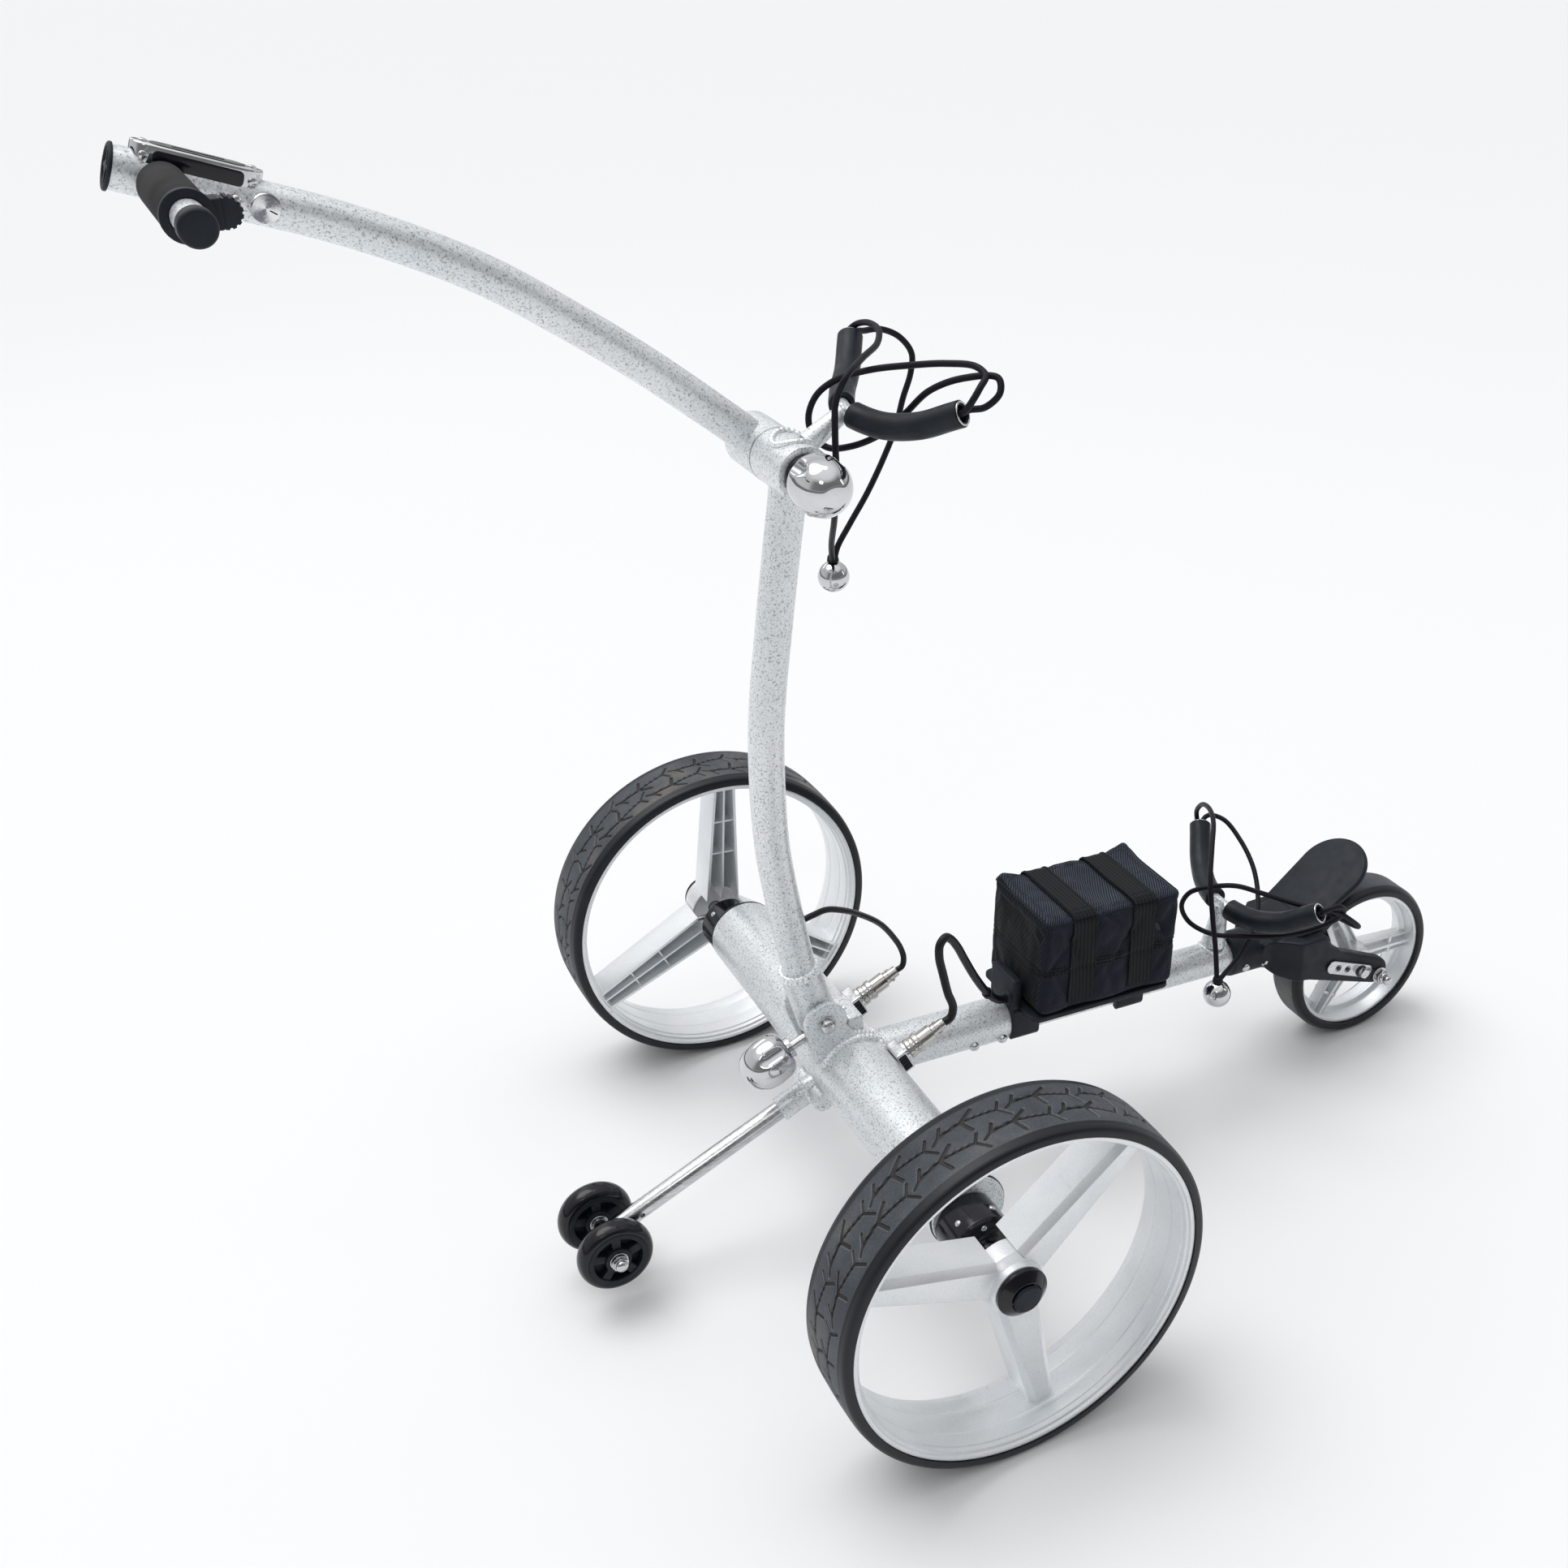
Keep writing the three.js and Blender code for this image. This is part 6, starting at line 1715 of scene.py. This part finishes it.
def grip_seam():
    """Seam of the cross grip on the side of the handle tube."""
    line = []
    for a in np.linspace(0, 2 * math.pi, 80):
        u, v = 10 * math.cos(a), 10 * math.sin(a)
        across = np.dot((u, v), (-HEAD_WAY[2], -HEAD_WAY[0]))
        depth = math.sqrt(max((HANDLE_R + 0.4) ** 2 - min(abs(across), HANDLE_R - 1) ** 2, 0))
        line.append(vec(GRIP[0] + u, HANDLE_Y - depth, GRIP[2] + v))
    return line


def control_panel():
    """Rounded chrome housing on the handle, with a dark face, side bands and screws."""
    middle = vec(-368, HANDLE_Y, 897.7)
    back = -HEAD_WAY
    normal = unit(np.cross(back, -Y))
    normal = normal if normal[2] > 0 else -normal

    def place(u, v, w):
        return middle + back * u + Y * v + normal * w

    shells = [slab(stadium(-27, 0, 27, 0, 10.5), place, 4, 19, 1.6, 4)]
    build("control_panel_body", "handle", "chrome", shells, ["control_panel"])
    face = slab(stadium(-19, 0, 19, 0, 8.2), place, 18.2, 19.5, 0.5)
    bar = slab(box_outline(-15, 15, -2.2, 2.2, 2), place, 19, 19.9, 0.3)
    band = box_outline(-25.5, 25.5, 7.2, 16.4, 3.5)
    bands = [slab(band, lambda u, w, t, m=m: place(u, m * (10.1 + t), w), 0, 0.9, 0.4) for m in (-1, 1)]
    build("control_panel_face", "handle", "gloss_black", [face, bar, *bands])
    studs = [dome(place(u, 0, 18.8), normal, 2.6, 1.7, 28) for u in (-30.6, 30.6)]
    studs += [dome(place(u, m * 9.6, 11.8), Y * m, 2.8, 1.8, 28) for u in (-30.4, 30.4) for m in (-1, 1)]
    build("control_panel_screws", "handle", "steel", studs)


THUMB_TEETH = 14


def grip():
    """Foam sleeve, flange, end cap and thumb wheel on the cross grip."""
    start = vec(GRIP[0], 30, GRIP[2])
    sleeve = [(9.8, 0), (14.2, 0), (14.2, 94.6), (9.8, 94.6)]
    build("grip_foam", "handle", "foam", [turned_ring(sleeve, start, -Y, 1.4, 4, 96)], ["grip_sleeve"])
    flange = [(9.7, 95), (14.8, 95), (14.8, 100), (9.7, 100)]
    pod = slab(box_outline(-4.5, 4.5, -8.5, 8.5, 2),
               lambda u, v, w: vec(GRIP[0] + 14 + u, w, GRIP[2] - 1 + v), -68, -52, 1)
    build("grip_flange", "handle", "black_plastic", [turned_ring(flange, start, -Y, 0.8, 4, 96), pod])
    cap = eased([(0, 8), (9.4, 8), (9.4, 0), (10.7, 0), (10.7, 9), (9.4, 10.6), (0, 11)], 1.0, 4)
    build("grip_end_cap_shell", "handle", "black_plastic",
          [lathe([(0, 0), *cap[3:]], (GRIP[0], -95.6, GRIP[2]), (0, -1, 0), 64)], ["grip_end_cap"])
    thumb_wheel()


def thumb_wheel():
    """Toothed wheel in its pod under the grip."""
    centre = vec(GRIP[0] + 20.4, 0, GRIP[2] - 1)
    teeth = []
    for i in range(THUMB_TEETH):
        for r, share in ((9.0, 0), (9.0, 0.5), (8.1, 0.6), (8.1, 0.9)):
            a = math.radians(360 * i / THUMB_TEETH + 360 * share / THUMB_TEETH)
            teeth.append((r * math.cos(a), r * math.sin(a)))
    build("thumb_wheel_rim", "thumb", "rubber",
          [slab(teeth, lambda u, v, w: centre + vec(u, w, v), -66.4, -53.6, 0.7)], ["thumb_wheel"])


def speed_dial():
    at = DIAL - Y * (HANDLE_R + 0.2 + GAP)
    profile = eased([(0, 0), (9, 0), (9, 6.2), (8.2, 7.4), (0, 7.4)], 0.5, 3)
    build("speed_dial_knob", "dial", "steel:turned", [lathe(profile, at, -Y, 96)], ["speed_dial"])
    way = unit(vec(1, 0, -0.7))
    tick = rod(at + way * 2.4 - Y * 7.3, at + way * 7.2 - Y * 7.3, 0.45, 0.2, 10)
    build("speed_dial_tick", "dial", "gloss_black", [tick])


# --- cords ------------------------------------------------------------------------------------
def cord_piece(name, body, slot, route, r, nodes):
    line = spline(route, 1.2)
    obj = build(name, body, slot, [swept(line, r, 20)], nodes, 60)
    path = to_m(line)
    return obj


def bungee_ball(node, body, centre):
    """Plated ball and the knot above it."""
    profile = spline([(0, 0, -12.4), (5, 0, -11.6), (10.6, 0, -7), (12.7, 0, 0), (10.4, 0, 7), (6.2, 0, 11),
                      (3.4, 0, 12.2)], 0.6)
    outline = [(max(r, 0), t) for r, _, t in profile] + [(0, 12.2)]
    ball = build(f"{node}_body", body, "chrome", [lathe(outline, centre, (0, 0, 1), 96)], [node], 50)
    knot = rod(centre + vec(0, 0, 12.5), centre + vec(0, 0, 18), 5, 1.4, 40, 4)
    return ball, build(f"{node}_body_knot", body, "cord", [knot])


def cords():
    control_plug = plug("control_plug", CONTROL_Y)
    battery_plug = plug("battery_plug", BATTERY_Y)
    control = cord_piece("control_cable_run", "", "cable", CONTROL_ROUTE, 2.6, ["control_cable"])
    to_m(CONTROL_ROUTE[-3])
    to_m(CONTROL_ROUTE[2])
    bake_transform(control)
    cord_piece("battery_cable_run", "frame", "cable", BATTERY_ROUTE, 3.6, ["battery_cable"])
    for level, body, centre, strands, loop, r in (
            ("lower", "frame", LOWER_BALL, (LOWER_STRAND_A, LOWER_STRAND_B), LOWER_LOOP, 2.3),
            ("upper", "mast", UPPER_BALL, (UPPER_STRAND_A, UPPER_STRAND_B), UPPER_LOOP, 2.4)):
        fitting = bungee_ball(f"bungee_ball_{level}", body, centre)
        name = f"bungee_{level}"
        cord_piece(f"{name}_strand_a", body, "cord", strands[0], r, [f"{name}_left"])
        cord_piece(f"{name}_strand_b", body, "cord", strands[1], r, [])
        cord_piece(f"{name}_loop", body, "cord", loop, r, [f"{name}_right"])


def battery_tie():
    """Small black tie tab on the battery cable, and the gland where it enters the bag."""
    at = vec(*BATTERY_ROUTE[3])
    way = unit(vec(*BATTERY_ROUTE[4]) - at)
    side, third = perpendicular(way, Y)
    band = turned_ring([(3.7, -2), (4.9, -2), (4.9, 2), (3.7, 2)], at, way, 0.4, 4, 32)
    tab = slab(box_outline(4, 9, -2, 2, 0.6), lambda u, v, w: at - side * u + way * v + third * w,
               -0.8, 0.8, 0.3)
    gland = turned_ring([(3.7, 0), (7.5, 0), (6.8, 3), (5, 4.5), (3.7, 4.5)], vec(161.5, -9, 166.9),
                        (-1, 0, 0.1), 0.7, 4, 40)
    build("battery_cable_tie", "frame", "rubber", [band, tab, gland])


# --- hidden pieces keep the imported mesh, painted --------------------------------------------------
def paint_node(node, slot):
    obj = frame["nodes"][node]
    obj.data.materials.clear()
    obj.data.materials.append(LOOKS[slot])
    obj.data.set_sharp_from_angle(angle=math.radians(30))


axle_frame()
front_tube()
cradle("lower_cradle", "frame", nose(STEM_AT, 0, 15.6), vec(392, 0, 187), STEM_R, LOWER_ARMS,
       "lower_bag_cradle", stem_seam())
for side, s in SIDES:
    hose(f"lower_hose_{side}", "frame", LOWER_ARMS, 10, s)
pivot_bolt()
mast_knob()
handle_knob()
socket("control_socket", CONTROL_Y)
socket("battery_socket", BATTERY_Y)
for side, s in SIDES:
    gear_motor(side, s)
drive_wheel("left", 1, 85)
drive_wheel("right", -1, 41.5)
fork()
front_axle()
front_wheel()
bag_rest()
battery_tray()
bag = battery_bag()
bag_tree = tree_of(bag)
strap_sets(bag_tree)
bag_trim(bag_tree)
anti_tip()
for side, s in SIDES:
    tip_wheel(side, s)
mast()
cradle("upper_cradle", "mast", HUB + vec(13.5, 0, 13.5), vec(27, 0, 711), 8.5, UPPER_ARMS, "upper_bag_cradle")
for side, s in SIDES:
    hose(f"upper_hose_{side}", "mast", UPPER_ARMS, 9.6, s)
handle()
control_panel()
grip()
speed_dial()
cords()
battery_tie()
paint_node("battery_pack", "battery_case")
paint_node("controller_board", "circuit_board")

# --- floor, world and lights -----------------------------------------------------------------------
FLOOR_R = 45.0
turn = np.linspace(0, 2 * math.pi, 96, endpoint=False)
floor_mesh = bpy.data.meshes.new("floor")
corners = [(FLOOR_R * math.cos(a), FLOOR_R * math.sin(a), 0) for a in turn]
floor_mesh.from_pydata(corners, [], [list(range(len(corners)))])
floor = bpy.data.objects.new("floor", floor_mesh)
bpy.context.scene.collection.objects.link(floor)
floor_paint = Paint("floor", Roughness=0.6, Base_Color=(0.86, 0.865, 0.87, 1), Specular_IOR_Level=0.25)
floor_mesh.materials.append(floor_paint.material)


def light(name, at, towards, size, power):
    """Rectangular area light aimed at a point."""
    lamp = bpy.data.lights.new(name, "AREA")
    lamp.shape = "RECTANGLE"
    lamp.size, lamp.size_y = size
    lamp.energy = power
    obj = bpy.data.objects.new(name, lamp)
    bpy.context.scene.collection.objects.link(obj)
    obj.location = at
    obj.rotation_euler = (Vector(towards) - Vector(at)).to_track_quat("-Z", "Y").to_euler()


light("key", (-1.6, -2.2, 3.0), (0, 0, 0.35), (0.7, 0.55), 5)
light("top", (0.3, 0.4, 3.4), (0, 0, 0.2), (1.0, 0.8), 4)
light("side", (2.6, -1.4, 1.7), (0.1, 0, 0.4), (0.5, 1.0), 2)
light("back", (-0.8, 2.8, 2.0), (0, 0, 0.4), (1.4, 0.7), 3)
sun = bpy.data.objects.new("sun", bpy.data.lights.new("sun", "SUN"))
sun.data.energy = 1.15
sun.data.angle = math.radians(40)
sun.rotation_euler = Vector((0.25, -0.32, -1.0)).to_track_quat("-Z", "Y").to_euler()
bpy.context.scene.collection.objects.link(sun)

# The sky is dark below a low belt and bright overhead. Between them it dims towards the camera's
# side. The chrome reflects these tones.
world = bpy.data.worlds.new("studio")
bpy.context.scene.world = world
world.use_nodes = True
tree = world.node_tree
tree.nodes.clear()
sky = tree.nodes.new("ShaderNodeBackground")
where = tree.nodes.new("ShaderNodeTexCoord")
split = tree.nodes.new("ShaderNodeSeparateXYZ")
height = tree.nodes.new("ShaderNodeValToRGB")
facing = tree.nodes.new("ShaderNodeValToRGB")
turned = tree.nodes.new("ShaderNodeMath")
both = tree.nodes.new("ShaderNodeMix")
last = tree.nodes.new("ShaderNodeOutputWorld")
both.data_type = "RGBA"
turned.operation = "MULTIPLY_ADD"
turned.inputs[1].default_value = 0.5
turned.inputs[2].default_value = 0.5
tree.links.new(where.outputs["Generated"], split.inputs["Vector"])
tree.links.new(split.outputs["Z"], height.inputs["Fac"])
tree.links.new(split.outputs["Y"], turned.inputs[0])
tree.links.new(turned.outputs[0], facing.inputs["Fac"])
tree.links.new(height.outputs["Alpha"], both.inputs[0])
tree.links.new(height.outputs["Color"], both.inputs[6])
tree.links.new(facing.outputs["Color"], both.inputs[7])
tree.links.new(both.outputs[2], sky.inputs["Color"])
tree.links.new(sky.outputs["Background"], last.inputs["Surface"])


def stops(node, *rows):
    """Sets a ramp's (position, grey, share of the side tone) stops."""
    elements = node.color_ramp.elements
    while len(elements) < len(rows):
        elements.new(0.5)
    for element, (position, grey, alpha) in zip(elements, rows):
        element.position = position
        element.color = (grey, grey, grey * 1.015, alpha)


stops(height, (0.0, 0.2, 0.0), (0.10, 0.2, 0.0), (0.18, 0.8, 0.9), (0.6, 0.8, 0.9), (0.8, 0.9, 0.1),
      (1.0, 0.95, 0.0))
stops(facing, (0.0, 0.10, 1), (0.3, 0.16, 1), (0.45, 0.55, 1), (0.7, 0.62, 1), (1.0, 0.75, 1))
sky.inputs["Strength"].default_value = 1.08

bpy.context.scene.view_settings.view_transform = "Standard"
bpy.context.scene.view_settings.exposure = 0.0
bpy.context.view_layer.update()
